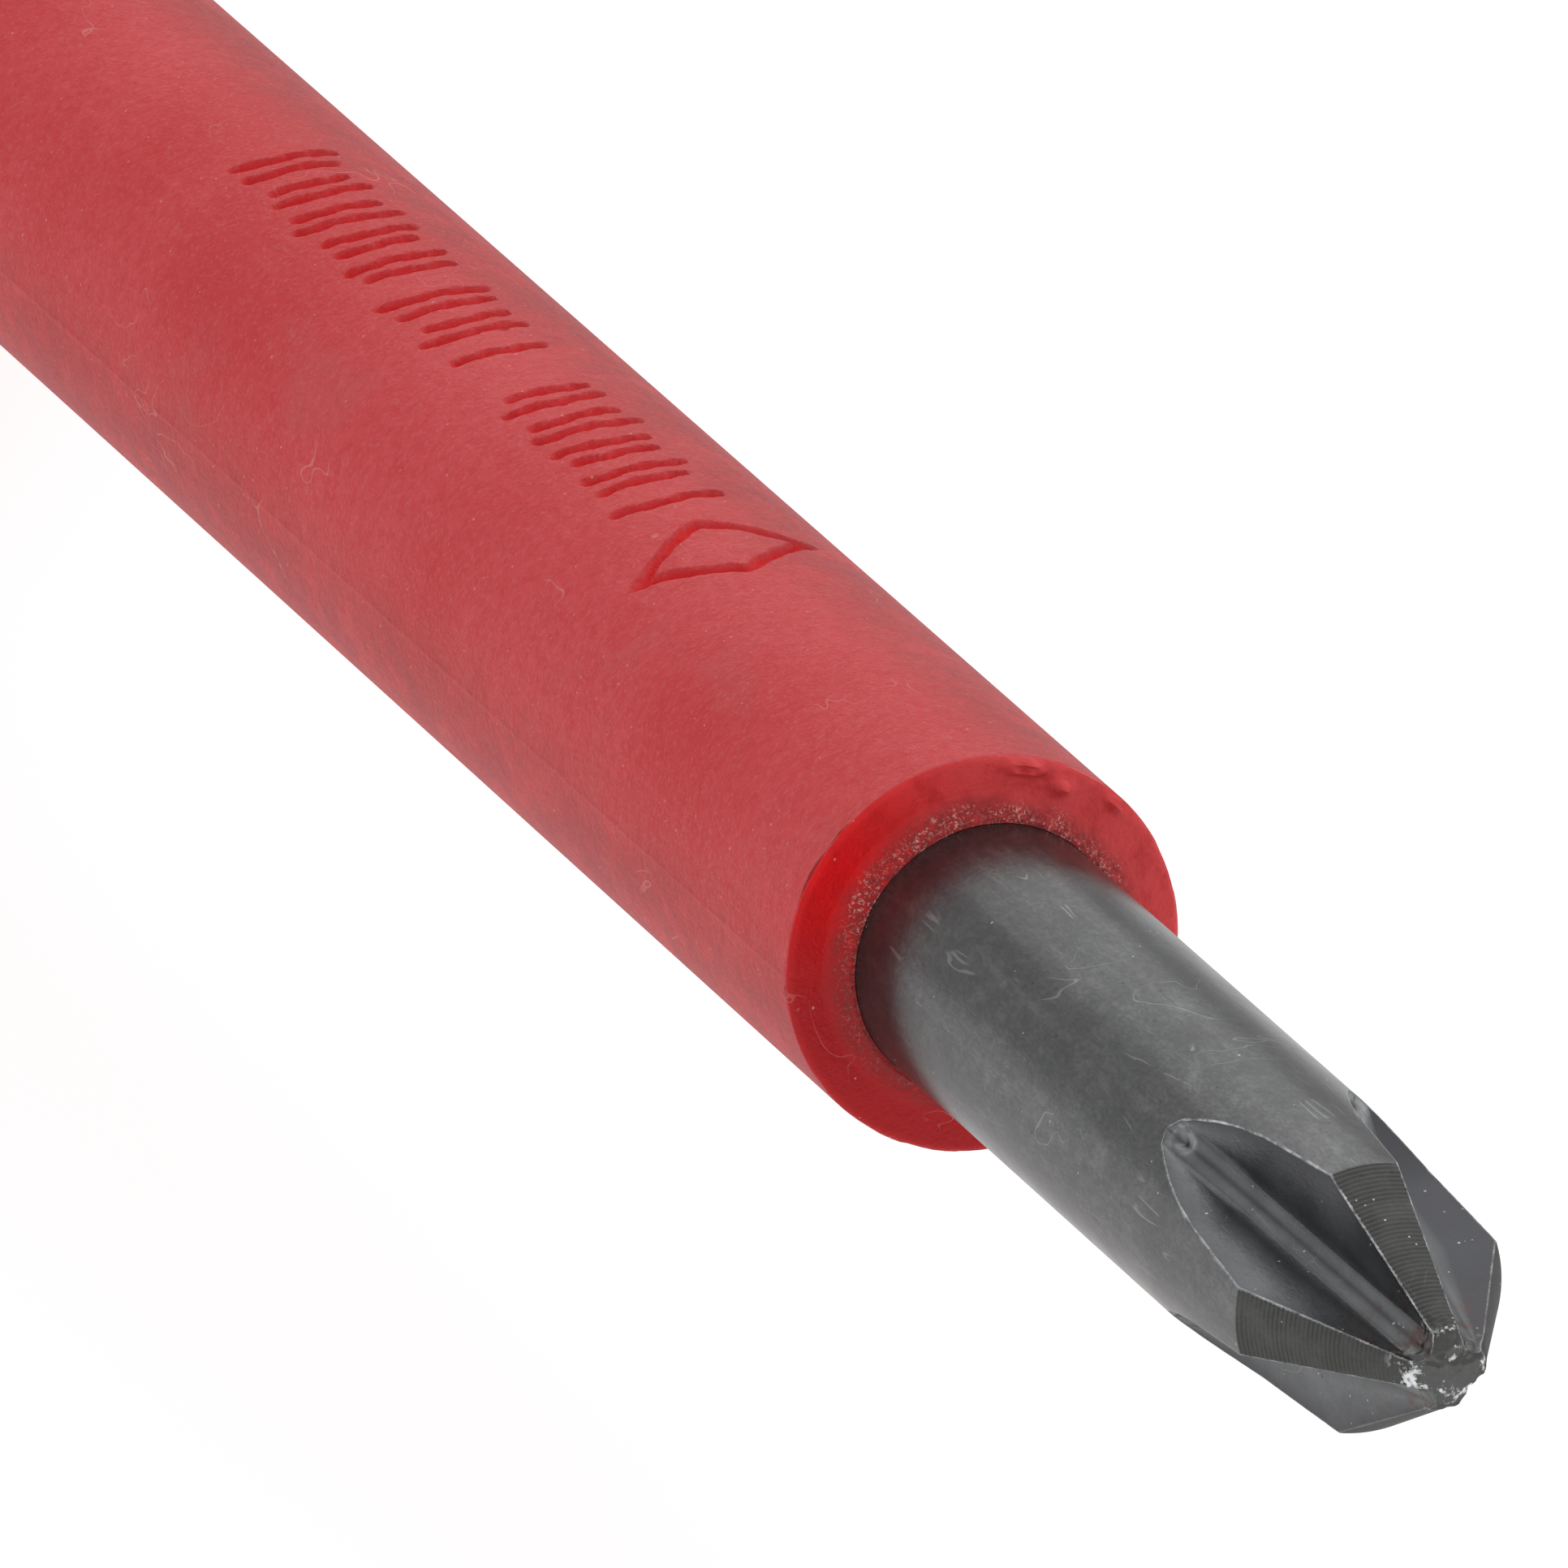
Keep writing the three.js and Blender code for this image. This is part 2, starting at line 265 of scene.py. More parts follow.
def rough(points, scale, seed):
    """Smooth noise from -1 to 1 at points in metres, with features of about scale millimetres."""
    shift = Vector((seed * 7.3, seed * 3.1, seed * 5.7))
    factor = 1 / (scale * MM)
    flat = points.reshape(-1, 3)
    values = [noise.noise(Vector(p) * factor + shift) for p in flat.tolist()]
    return np.array(values).reshape(points.shape[:-1])


# ---- Material helpers ----
def srgb(red, green, blue):
    """A linear colour from sRGB values of 0 to 255."""
    def linear(value):
        value /= 255
        return value / 12.92 if value <= 0.04045 else ((value + 0.055) / 1.055) ** 2.4
    return linear(red), linear(green), linear(blue), 1.0


DUST = srgb(168, 164, 160)


class Shader:
    """A material whose nodes are added by short calls. Coordinates are in millimetres."""

    def __init__(self, name, **sockets):
        self.material = bpy.data.materials.new(name)
        self.material.use_nodes = True
        self.tree = self.material.node_tree
        self.principled = self.tree.nodes["Principled BSDF"]
        self.feed_all(self.principled, **sockets)
        self.coordinates = self.tree.nodes.new("ShaderNodeTexCoord").outputs["Object"]
        self.tone = self.normal = None

    def node(self, kind, *inputs, **properties):
        """A node whose inputs, in order, are linked to sockets or set to values. None skips one."""
        made = self.tree.nodes.new("ShaderNode" + kind)
        for key, value in properties.items():
            setattr(made, key, value)
        for socket, value in zip(made.inputs, inputs):
            self.feed(socket, value)
        return made

    def feed(self, socket, value):
        if isinstance(value, bpy.types.NodeSocket):
            self.tree.links.new(value, socket)
        elif value is not None:
            socket.default_value = value

    def feed_all(self, made, **values):
        """Feeds inputs by name, with an underscore for each space."""
        for name, value in values.items():
            self.feed(made.inputs[name.replace("_", " ")], value)

    def scaled(self, x, y, z):
        """The coordinates in millimetres, times x, y and z."""
        made = self.node("Mapping", self.coordinates)
        self.feed_all(made, Scale=(x / MM, y / MM, z / MM))
        return made.outputs[0]

    def noise(self, per_mm, detail=2.0, roughness=0.5, distortion=0.0, stretch=(1, 1, 1), shift=0.0):
        """Noise with about per_mm features to the millimetre, times stretch along each axis."""
        made = self.node("TexNoise")
        self.feed_all(made, Vector=self.scaled(*stretch), Scale=per_mm, Detail=detail)
        self.feed_all(made, Roughness=roughness, Distortion=distortion)
        if shift:
            made.noise_dimensions = "4D"
            self.feed_all(made, W=shift)
        return made.outputs[0]

    def cells(self, per_mm):
        """Voronoi cells: (distance from the centre, a random number for each cell)."""
        made = self.node("TexVoronoi")
        self.feed_all(made, Vector=self.scaled(1, 1, 1), Scale=per_mm)
        split = self.node("SeparateColor", made.outputs["Color"])
        return made.outputs["Distance"], split.outputs[0]

    def math(self, operation, a, b=None, clamp=False):
        return self.node("Math", a, b, operation=operation, use_clamp=clamp).outputs[0]

    def times(self, a, b):
        return self.math("MULTIPLY", a, b)

    def most(self, a, b, clamp=False):
        return self.math("MAXIMUM", a, b, clamp)

    def ramp(self, value, low=0.3, high=0.7, to_low=0.0, to_high=1.0):
        """value from low..high to to_low..to_high, smooth and clamped."""
        made = self.node("MapRange", value, low, high, to_low, to_high)
        made.interpolation_type = "SMOOTHSTEP"
        return made.outputs[0]

    def specks(self, per_mm, size, share):
        """Round specks: size is a share of a cell, and share is how many cells hold one."""
        distance, random = self.cells(per_mm)
        near = self.ramp(distance, size, size * 0.5)
        chosen = self.math("GREATER_THAN", random, 1 - share)
        return self.times(near, chosen)

    def hairs(self, per_mm, width, shift, stretch, mask_low, mask_high):
        """Thin curling lines, where a noise crosses its middle, kept only in some places."""
        value = self.noise(per_mm, 2.0, 0.5, 0.6, stretch, shift)
        centred = self.math("ABSOLUTE", self.math("SUBTRACT", value, 0.5))
        line = self.ramp(centred, width, width * 0.3)
        places = self.noise(per_mm * 0.6, 1.0, 0.5, shift=shift + 5)
        keep = self.ramp(places, mask_low, mask_high)
        return self.times(line, keep)

    def field(self, name):
        """One of the float attributes that make_piece gives a mesh."""
        made = self.node("Attribute")
        made.attribute_name = name
        return made.outputs["Fac"]

    def mix(self, factor, a, b, kind="RGBA"):
        made = self.node("Mix", data_type=kind)
        self.feed_all(made, Factor=factor, A=a, B=b)
        return made.outputs["Result"]

    def mix_value(self, factor, a, b):
        return self.mix(factor, a, b, "FLOAT")

    def lay(self, colour, mask, strength=None):
        """Lays a colour over the tone so far where mask is 1, at most as strongly as strength."""
        if strength is not None:
            mask = self.times(mask, strength)
        self.tone = self.mix(mask, self.tone, colour)

    def bump(self, height, depth_mm, strength):
        """Adds relief to the relief so far."""
        made = self.node("Bump")
        self.feed_all(made, Strength=strength, Distance=depth_mm * MM)
        self.feed_all(made, Height=height, Normal=self.normal)
        self.normal = made.outputs[0]

    def finish(self, roughness):
        self.feed_all(self.principled, Base_Color=self.tone, Roughness=roughness, Normal=self.normal)
        return self.material


# ---- Materials ----
def blackened_steel():
    """Dark oxide on turned steel: cloudy, streaked along the bar, bright where it is worn, with painted
    shade on the flanks, in the creases, on the cone faces and in the cone's ridge grooves.
    """
    s = Shader("blackened_steel", Metallic=0.86, Specular_Tint=srgb(210, 210, 210))
    cloud = s.noise(0.5, 4.0, 0.6)
    streak = s.noise(4.0, 3.0, 0.6, stretch=(0.06, 1, 1), shift=2.0)
    fine = s.noise(24.0, 2.0, 0.6, stretch=(0.3, 1, 1), shift=4.0)
    s.tone = s.mix(s.ramp(cloud), srgb(98, 99, 98), srgb(112, 112, 114))
    s.lay(srgb(136, 136, 135), s.ramp(streak, 0.45, 0.72, 0.0, 0.34))
    s.lay(srgb(82, 83, 83), s.ramp(fine, 0.3, 0.7, 0.0, 0.5))
    mottle = s.ramp(s.noise(7.0, 5.0, 0.75, stretch=(0.7, 1, 1), shift=41.0), 0.4, 0.62, 0.0, 0.4)
    s.lay(srgb(78, 79, 78), mottle)
    smudge = s.ramp(s.noise(0.8, 6.0, 0.78, 0.6, stretch=(0.5, 1, 1), shift=9.0), 0.5, 0.7, 0.0, 0.26)
    s.lay(srgb(160, 160, 163), smudge)
    curls = s.hairs(0.55, 0.004, 3.0, (1, 1, 1), 0.58, 0.64)
    scratches = s.hairs(1.6, 0.012, 11.0, (0.1, 1, 1), 0.58, 0.66)
    s.lay(srgb(186, 186, 188), s.most(curls, scratches), 0.3)
    flute_amount = s.ramp(s.noise(1.5, 4.0, 0.65, stretch=(0.7, 1, 1), shift=51.0), 0.35, 0.65, 0.35, 0.8)
    s.lay(srgb(122, 124, 126), s.field("flute"), flute_amount)
    # Painted shade on the flanks, darkest towards their outer edges and stronger on some flanks than on
    # others.
    flank_shade = s.times(s.math("POWER", s.field("flank"), 1.4), 0.9)
    s.lay(srgb(52, 52, 56), flank_shade)
    # Painted shade along the creases of the flute's root.
    s.lay(srgb(44, 44, 46), s.field("crease"), 0.5)
    # Painted shade: the cone faces are laid darker to offset the light they reflect.
    cone = s.field("cone")
    s.lay(srgb(74, 74, 72), cone, 0.75)
    # Painted shade, patchy, in the grooves between the cone's turning ridges.
    ridge_shade_amount = s.ramp(s.noise(1.7, 4.0, 0.65, shift=61.0), 0.36, 0.6, 0.06, 0.5)
    s.lay(srgb(44, 44, 43), s.field("ridge"), ridge_shade_amount)
    tip = s.field("tip")
    rust = s.ramp(s.noise(2.6, 4.0, 0.65, shift=21.0), 0.5, 0.62)
    rust = s.times(s.times(rust, s.field("rust")), 0.5)
    s.lay(srgb(96, 52, 42), rust)
    s.lay(srgb(80, 80, 78), tip, 0.55)
    speck = s.most(s.specks(2.2, 0.07, 0.16), s.specks(5.0, 0.12, 0.05))
    lint = s.times(s.specks(7.0, 0.15, 0.05), s.most(cone, s.field("flute")))
    speck = s.most(speck, lint)
    pit = s.specks(3.1, 0.13, 0.16)
    s.lay(srgb(54, 54, 56), pit, 0.5)
    broken = s.ramp(s.noise(3.0, 5.0, 0.75, shift=31.0), 0.38, 0.66, 0.08, 1.0)
    wear = s.times(s.field("wear"), broken)
    flecks = s.ramp(s.noise(2.6, 5.0, 0.7, shift=17.0), 0.55, 0.62)
    wear = s.most(wear, s.times(tip, flecks))
    wear = s.most(wear, s.times(speck, 0.6), clamp=True)
    s.lay(srgb(222, 224, 226), wear)
    grain = s.math("ADD", s.times(fine, 0.6), s.times(streak, 0.4))
    s.bump(grain, 0.005, 0.6)
    s.bump(s.noise(9.0, 3.0, 0.6), 0.004, 0.5)
    blur = s.mix_value(cone, s.ramp(cloud, 0.3, 0.7, 0.22, 0.28), 0.48)
    return s.finish(s.mix_value(wear, blur, 0.45))


def sleeve_red():
    """Matte moulded red with grime, dust and hairlines, with painted light brightening its marks, painted
    shade along its silhouette sides, and a brighter cut face that carries a painted sheen and a painted
    shadow.
    """
    s = Shader("sleeve_red", Specular_IOR_Level=0.14)
    cloud = s.noise(0.22, 3.0, 0.5)
    s.tone = s.mix(s.ramp(cloud), srgb(202, 62, 64), srgb(209, 74, 77))
    mottle = s.ramp(s.noise(4.0, 5.0, 0.7, shift=3.0), 0.35, 0.68, 0.0, 0.55)
    s.lay(srgb(194, 46, 50), mottle)
    grime = s.ramp(s.noise(0.3, 5.0, 0.65, 0.4, shift=15.0), 0.54, 0.7, 0.0, 0.3)
    s.lay(srgb(190, 90, 90), grime)
    pale_grain = s.ramp(s.noise(11.0, 4.0, 0.7, shift=19.0), 0.5, 0.68, 0.0, 0.35)
    s.lay(srgb(206, 118, 118), pale_grain)
    # Painted shade, patchy, along the two sides of the sleeve that are seen edge-on.
    silhouette_shade_amount = s.ramp(s.noise(1.3, 4.0, 0.65, shift=45.0), 0.3, 0.62, 0.25, 0.8)
    s.lay(srgb(158, 62, 64), s.field("silhouette_shade"), silhouette_shade_amount)
    cut = s.field("cut")
    # Painted light: the debossed marks are laid a brighter, more saturated red to offset the shade in
    # their grooves.
    s.lay(srgb(222, 24, 28), s.field("mark"), 0.9)
    # Painted light on the cut face: a painted shadow of the shank darkens its lower left, and a painted
    # sheen turns its upper right pink.
    cut_colour_with_painted_light = s.mix(s.field("painted_shadow"), srgb(224, 22, 26), srgb(176, 30, 34))
    cut_colour_with_painted_light = s.mix(s.field("painted_sheen"), cut_colour_with_painted_light, srgb(216, 70, 72))
    s.lay(cut_colour_with_painted_light, cut)
    streaks = s.ramp(s.noise(2.2, 4.0, 0.6, 0.5, shift=27.0), 0.42, 0.66, 0.0, 0.4)
    s.lay(srgb(176, 26, 30), cut, streaks)
    dusty = s.field("dusty")
    dust_grain = s.ramp(s.noise(7.0, 5.0, 0.8, shift=7.0), 0.36, 0.62, 0.35, 0.95)
    s.lay(srgb(134, 48, 48), dusty, dust_grain)
    crumbs = s.ramp(s.noise(17.0, 4.0, 0.8, shift=33.0), 0.52, 0.62)
    crumbs = s.times(crumbs, s.ramp(s.noise(1.2, 2.0), 0.35, 0.55, 0.15, 0.85))
    s.lay(srgb(224, 178, 170), s.field("crumbs"), crumbs)
    nick = s.times(s.specks(0.42, 0.06, 0.35), s.math("SUBTRACT", 1.0, cut))
    s.lay(srgb(150, 26, 30), nick)
    speck = s.most(s.specks(2.4, 0.075, 0.3), s.specks(5.0, 0.12, 0.12))
    hairs = s.hairs(0.7, 0.004, 5.0, (0.6, 1, 1), 0.58, 0.66)
    pale = s.most(s.times(speck, 0.5), s.times(hairs, 0.25))
    s.lay(srgb(226, 176, 168), pale)
    grain = s.noise(14.0, 3.0, 0.6, shift=13.0)
    s.bump(grain, 0.02, 0.9)
    s.bump(s.noise(3.6, 5.0, 0.65), 0.035, 0.9)
    blur = s.mix_value(cut, s.ramp(grain, 0.3, 0.7, 0.48, 0.6), 0.36)
    return s.finish(s.mix_value(dusty, blur, 0.75))


def handle_red():
    """Satin moulded red with a fine spark-eroded grain."""
    s = Shader("handle_red", Specular_IOR_Level=0.5)
    cloud = s.noise(0.12, 3.0, 0.5)
    s.tone = s.mix(s.ramp(cloud), srgb(176, 22, 26), srgb(186, 30, 33))
    scuff = s.hairs(0.5, 0.003, 3.0, (0.5, 1, 1), 0.55, 0.66)
    s.lay(srgb(226, 150, 146), scuff, 0.3)
    s.lay(srgb(222, 170, 160), s.specks(1.4, 0.06, 0.2), 0.4)
    grain = s.noise(7.0, 3.0, 0.6)
    s.bump(grain, 0.014, 0.5)
    s.bump(s.noise(0.35, 1.0, 0.5), 0.05, 0.2)
    return s.finish(s.ramp(grain, 0.3, 0.7, 0.34, 0.46))


def soft_grip():
    """Soft-touch black elastomer with a pebbled skin and grey wear."""
    s = Shader("soft_grip", Specular_IOR_Level=0.4)
    cloud = s.noise(0.3, 4.0, 0.6)
    s.tone = s.mix(s.ramp(cloud), srgb(34, 34, 35), srgb(46, 46, 47))
    dust = s.ramp(s.noise(1.5, 5.0, 0.7, 0.4, shift=6.0), 0.55, 0.75, 0.0, 0.25)
    s.lay(srgb(104, 102, 100), dust)
    s.lay(DUST, s.specks(2.0, 0.06, 0.2), 0.4)
    distance = s.cells(3.2)[0]
    s.bump(s.math("SUBTRACT", 1.0, distance), 0.03, 0.5)
    s.bump(s.noise(14.0, 2.0, 0.6), 0.01, 0.5)
    return s.finish(s.ramp(cloud, 0.3, 0.7, 0.62, 0.78))


def cap_plastic():
    """Black moulded cap with an eroded grain, scuffed and smoother in patches."""
    s = Shader("cap_plastic", Specular_IOR_Level=0.5)
    cloud = s.noise(0.2, 3.0, 0.5)
    s.tone = s.mix(s.ramp(cloud), srgb(36, 36, 38), srgb(46, 46, 48))
    scuff = s.hairs(0.7, 0.004, 8.0, (1, 1, 1), 0.52, 0.64)
    s.lay(srgb(140, 138, 136), scuff, 0.35)
    s.lay(DUST, s.specks(1.6, 0.06, 0.2), 0.4)
    grain = s.noise(6.0, 4.0, 0.65)
    s.bump(grain, 0.02, 0.6)
    return s.finish(s.ramp(cloud, 0.3, 0.7, 0.42, 0.55))


def pale_plastic(name, light, dark):
    """Off-white moulded plastic, a little soiled."""
    s = Shader(name, Specular_IOR_Level=0.5)
    s.tone = s.mix(s.ramp(s.noise(0.5, 4.0, 0.6), 0.35, 0.7), light, dark)
    s.lay(srgb(120, 112, 100), s.specks(1.8, 0.08, 0.3), 0.5)
    s.bump(s.noise(9.0, 3.0, 0.6), 0.01, 0.5)
    return s.finish(s.ramp(s.noise(2.0, 2.0), 0.3, 0.7, 0.4, 0.55))


# ---- Blade ----
def blade_outer(along):
    """Radius of the bar with its cone and blunt end, with fine turning ridges on the cone."""
    end = WING_END_RADIUS * np.sqrt(np.clip(along / END_CONE_LENGTH, 0, 1))
    cone = WING_END_RADIUS + (along - END_CONE_LENGTH) * CONE_SLOPE
    radius = np.where(along < END_CONE_LENGTH, end, np.minimum(cone, SHANK_RADIUS))
    on_cone = smoothstep((along - END_CONE_LENGTH) / 0.1) * smoothstep((CONE_END - along) / 0.1)
    ridge = -RIDGE_HEIGHT * (1 - np.cos(2 * math.pi * along / RIDGE_PITCH)) * on_cone
    return radius + ridge


def flute_root(along):
    """How far the flute's root line is from the axis."""
    from_wings = along - END_CONE_LENGTH
    climbing = np.maximum(0, from_wings - FLUTE_STRAIGHT)
    return FLUTE_START_RADIUS + FLUTE_SLOPE * from_wings + FLUTE_CLIMB * climbing**2


def flute_height(root, across):
    """Distance along the flute's centre line of its section, at a distance across it."""
    on_root = np.minimum(across, ROOT_HALF_WIDTH)
    on_flank = np.maximum(across - ROOT_HALF_WIDTH, 0)
    return root + on_root * ROOT_RISE + on_flank / FLANK_SPREAD


def flute_edge(root, outer):
    """How far across the flute's section it meets the outer circle; 0 where it doesn't cut in."""
    low, high = np.zeros_like(outer), outer.copy()
    for _ in range(40):
        middle = (low + high) / 2
        inside = np.hypot(flute_height(root, middle), middle) < outer
        low, high = np.where(inside, middle, low), np.where(inside, high, middle)
    return np.where(root < outer, low, 0.0)


def blade_stations():
    """Places along the bar, behind its tip, closer together where there is detail."""
    ears = [
        place
        for start in EAR_STARTS
        for edge in (start, start + EAR_LENGTH)
        for place in steps(edge - 0.6, edge + 0.6, 0.15)
    ]
    return merged(
        END_CONE_LENGTH * np.linspace(0, 1, 16) ** 2,
        steps(END_CONE_LENGTH, CONE_END, RIDGE_PITCH / 6),
        steps(CONE_END, FLUTE_END - RUN_OUT, 0.06),
        FLUTE_END - RUN_OUT * np.linspace(1, 0, 24) ** 1.5,
        steps(FLUTE_END, SLEEVE_FRONT + 1, 0.25),
        steps(SLEEVE_FRONT + 1, BLADE_END - 0.6, 3.0),
        ears,
        steps(BLADE_END - 0.6, BLADE_END, 0.2),
        digits=5,
    )


# Columns of the half section: the root, the flank, the worn corner, then the outer surface.
ROOT_COLUMNS = 6
FLANK_COLUMNS = 10
OUTER_COLUMNS = 13
INNER_COLUMNS = ROOT_COLUMNS + 1 + FLANK_COLUMNS
HALF_COLUMNS = INNER_COLUMNS + 1 + OUTER_COLUMNS + 1
CROWDING = 1.8
TOWARDS_EDGE = 1 - (1 - np.linspace(0, 1, FLANK_COLUMNS + 1)[None, 1:]) ** CROWDING


def half_section(along):
    """Half a flute, then half a wing's end: radius, angle from the flute's middle, distance to the pit."""
    outer = blade_outer(along)
    root = flute_root(along)
    edge = flute_edge(root, outer)

    # Wear eats a varying strip off the edge between a wing's end and its flank.
    worn = WORN_LEAST + WORN_SPREAD * rng.random(along.shape)
    worn = (worn + np.roll(worn, 1, 0) + np.roll(worn, -1, 0)) / 3
    worn = np.minimum(worn, edge * 0.4)
    flank_end = edge - worn * 0.7
    root_end = np.minimum(ROOT_HALF_WIDTH, flank_end)
    root_across = root_end * np.linspace(0, 1, ROOT_COLUMNS + 1)[None, :]
    flank_across = root_end + (flank_end - root_end) * TOWARDS_EDGE
    across = np.concatenate([root_across, flank_across], axis=1)
    height = np.where(edge > 0, flute_height(root, across), outer)
    from_pit = np.hypot(along - PIT_PLACE, across)
    height = height - PIT_DEPTH * smoothstep(1 - from_pit / PIT_RADIUS) * (edge > 0)
    inner_radius = np.hypot(height, across)
    inner_angle = np.arctan2(across, height)

    edge_angle = np.arcsin(np.clip(edge / np.maximum(outer, TINY), 0, 1))
    start_angle = edge_angle + worn / np.maximum(outer, TINY)
    corner_radius = outer - worn * 0.25
    outer_share = np.linspace(0, 1, OUTER_COLUMNS + 1)[None, :] ** CROWDING
    outer_angle = start_angle + (math.pi / FLUTES - start_angle) * outer_share
    radius = np.concatenate([inner_radius, corner_radius, outer + 0 * outer_angle], axis=1)
    angle = np.concatenate([inner_angle, edge_angle, outer_angle], axis=1)
    return radius, angle, from_pit


def blade_fields(along, from_pit):
    """How worn, flank-shaded, creased and so on the half section is, each from 0 to 1: the flank, crease
    and ridge values place painted shade.
    """
    names = "wear", "flute", "flank", "crease", "rust", "cone"
    fields = {name: np.zeros((len(along), HALF_COLUMNS)) for name in names}
    exposed = smoothstep((FLUTE_END + 0.3 - along) / 0.2)
    burr = np.exp(-(((from_pit - PIT_RADIUS - 0.03) / 0.05) ** 2))
    wear = fields["wear"]
    wear[:, [INNER_COLUMNS]] = exposed
    wear[:, [INNER_COLUMNS + 1]] = 0.7 * exposed
    wear[:, [INNER_COLUMNS - 1]] = 0.5 * exposed
    wear[:, :INNER_COLUMNS] = np.maximum(wear[:, :INNER_COLUMNS], 0.5 * burr * exposed)
    fields["flute"][:, :INNER_COLUMNS] = exposed
    fields["flank"][:, ROOT_COLUMNS + 1 : INNER_COLUMNS] = exposed * TOWARDS_EDGE
    # Painted shade goes along the root's middle and along its edges.
    fields["crease"][:, [0, ROOT_COLUMNS]] = exposed
    fields["crease"][:, [1, ROOT_COLUMNS - 1, ROOT_COLUMNS + 1]] = 0.5 * exposed
    fields["rust"][:, :INNER_COLUMNS] = smoothstep((2.4 - along) / 1.6)
    on_cone = smoothstep((CONE_END - along) / 0.03) * smoothstep((along - 0.1) / 0.1)
    fields["cone"][:, INNER_COLUMNS + 1 :] = on_cone
    # Painted shade goes in the grooves between the cone's ridges.
    ridge_groove_shade = 0.5 + 0.5 * np.cos(2 * math.pi * along / RIDGE_PITCH + math.pi)
    fields["ridge"] = fields["cone"] * ridge_groove_shade
    return fields


def all_round(along):
    """The half section repeated on both sides of every flute: radius, angle, fields."""
    half_radius, half_angle, from_pit = half_section(along)
    fields = blade_fields(along, from_pit)
    radii, angles, marks = [], [], {name: [] for name in fields}
    for turn in range(FLUTES):
        centre = FLUTE_TURN + (turn + 0.5) * 2 * math.pi / FLUTES
        # The second factor for each side is the strength of its flank's painted shade.
        for side, worn_share, flute_amount in zip((-1, 1), EDGE_WEAR[turn], FLANK_SHADE[turn]):
            order = slice(HALF_COLUMNS - 1, 0, -1) if side < 0 else slice(HALF_COLUMNS - 1)
            shares = {"wear": worn_share, "flank": flute_amount}
            radii.append(half_radius[:, order])
            angles.append(centre + side * half_angle[:, order])
            for name, values in fields.items():
                marks[name].append(np.minimum(values[:, order] * shares.get(name, 1), 1))
    marks = {name: np.concatenate(values, axis=1) for name, values in marks.items()}
    return np.concatenate(radii, axis=1), np.concatenate(angles, axis=1), marks


def with_ears(points, along):
    """The bar pressed flat and wide where the handle grips it."""
    ear = sum(
        smoothstep((along - start) / EAR_RAMP + 0.5)
        * smoothstep((start + EAR_LENGTH - along) / EAR_RAMP + 0.5)
        for start in EAR_STARTS
    )
    wide = 1 + (EAR_HALF_WIDTH / SHANK_RADIUS - 1) * ear
    thin = 1 + (EAR_HALF_THICKNESS / SHANK_RADIUS - 1) * ear
    points[..., 1] *= wide
    points[..., 2] = AXIS_Z + (points[..., 2] - AXIS_Z) * thin
    return points


def make_blade(material):
    """The bar as rings of points, with chips and mushrooming at its worn tip."""
    along = blade_stations()[:, None]
    radius, angle, marks = all_round(along)
    tip = smoothstep((0.75 - along) / 0.5) + 0 * radius
    marks["tip"] = tip
    points = placed(along, radius, angle)
    chipping = tip * (0.06 * rough(points, 0.35, 1) + 0.03 * rough(points, 0.12, 2))
    chipping = chipping + 0.006 * marks["wear"] * rough(points, 0.15, 4)
    radius = np.maximum(radius + chipping * smoothstep(radius / 0.3), 0)
    shifted = along + tip * (0.05 * rough(points, 0.3, 3) + 0.02 * rough(points, 0.1, 12))
    shifted = np.maximum(shifted, 0)
    points = with_ears(placed(shifted, radius, angle), along)

    tip_end = placed(0.0, 0 * angle[:1], angle[:1])
    tail = placed(BLADE_END, 0 * angle[:1], angle[:1])
    points = np.concatenate([tip_end, points, tail])
    marks = {name: np.concatenate([rows[:1], rows, rows[-1:]]) for name, rows in marks.items()}
    piece = make_piece("blade_steel", grid(points), material, 24, **marks)
    stands_for(piece, "blackened_steel", "blade")


# ---- Insulating sleeve ----
def stroke_places():
    """Distance behind the face of each debossed stroke."""
    places = []
    for start, marks in BAR_GROUPS:
        for index, strokes in enumerate(marks):
            centre = start + index * BAR_PITCH
            for stroke in range(strokes):
                places.append(centre + (stroke - (strokes - 1) / 2) * STROKE_PITCH)
    return places


def groove(distance):
    """Depth of a stroke at a distance from its centre line."""
    return MARK_DEPTH * smoothstep((MARK_HALF_WIDTH + 0.03 - distance) / 0.09)


def mark_depth(from_face, angle):
    """Depth of the debossed marks: plain strokes, each a little different, and one plain lozenge."""
    # The sines and the factor 0.618 only make one stroke unlike the next.
    arc = (angle - MARK_ANGLE) * SLEEVE_RADIUS
    wobble = 0.03 * np.sin(arc * 5.3 + from_face * 2.9) + 0.02 * np.sin(arc * 11.7 - from_face * 4.1)
    along = from_face - LOZENGE_CENTRE + wobble
    corner = math.hypot(LOZENGE_HALF_LENGTH, LOZENGE_HALF_ARC)
    reach = np.abs(along) * LOZENGE_HALF_ARC + np.abs(arc) * LOZENGE_HALF_LENGTH
    depth = groove(np.abs(reach - LOZENGE_HALF_ARC * LOZENGE_HALF_LENGTH) / corner)
    for index, place in enumerate(stroke_places()):
        half = MARK_HALF_LENGTH * (1 - 0.28 * (index * 0.618 % 1)) - MARK_HALF_WIDTH
        beyond = np.maximum(np.abs(arc - 0.05 * math.sin(index * 2.1)) - half, 0)
        slant = arc * 0.05 * math.sin(index * 1.3) - 0.14 * np.minimum(arc**2, 1)
        depth = np.maximum(depth, groove(np.hypot(from_face - place + wobble + slant, beyond)))
    return depth


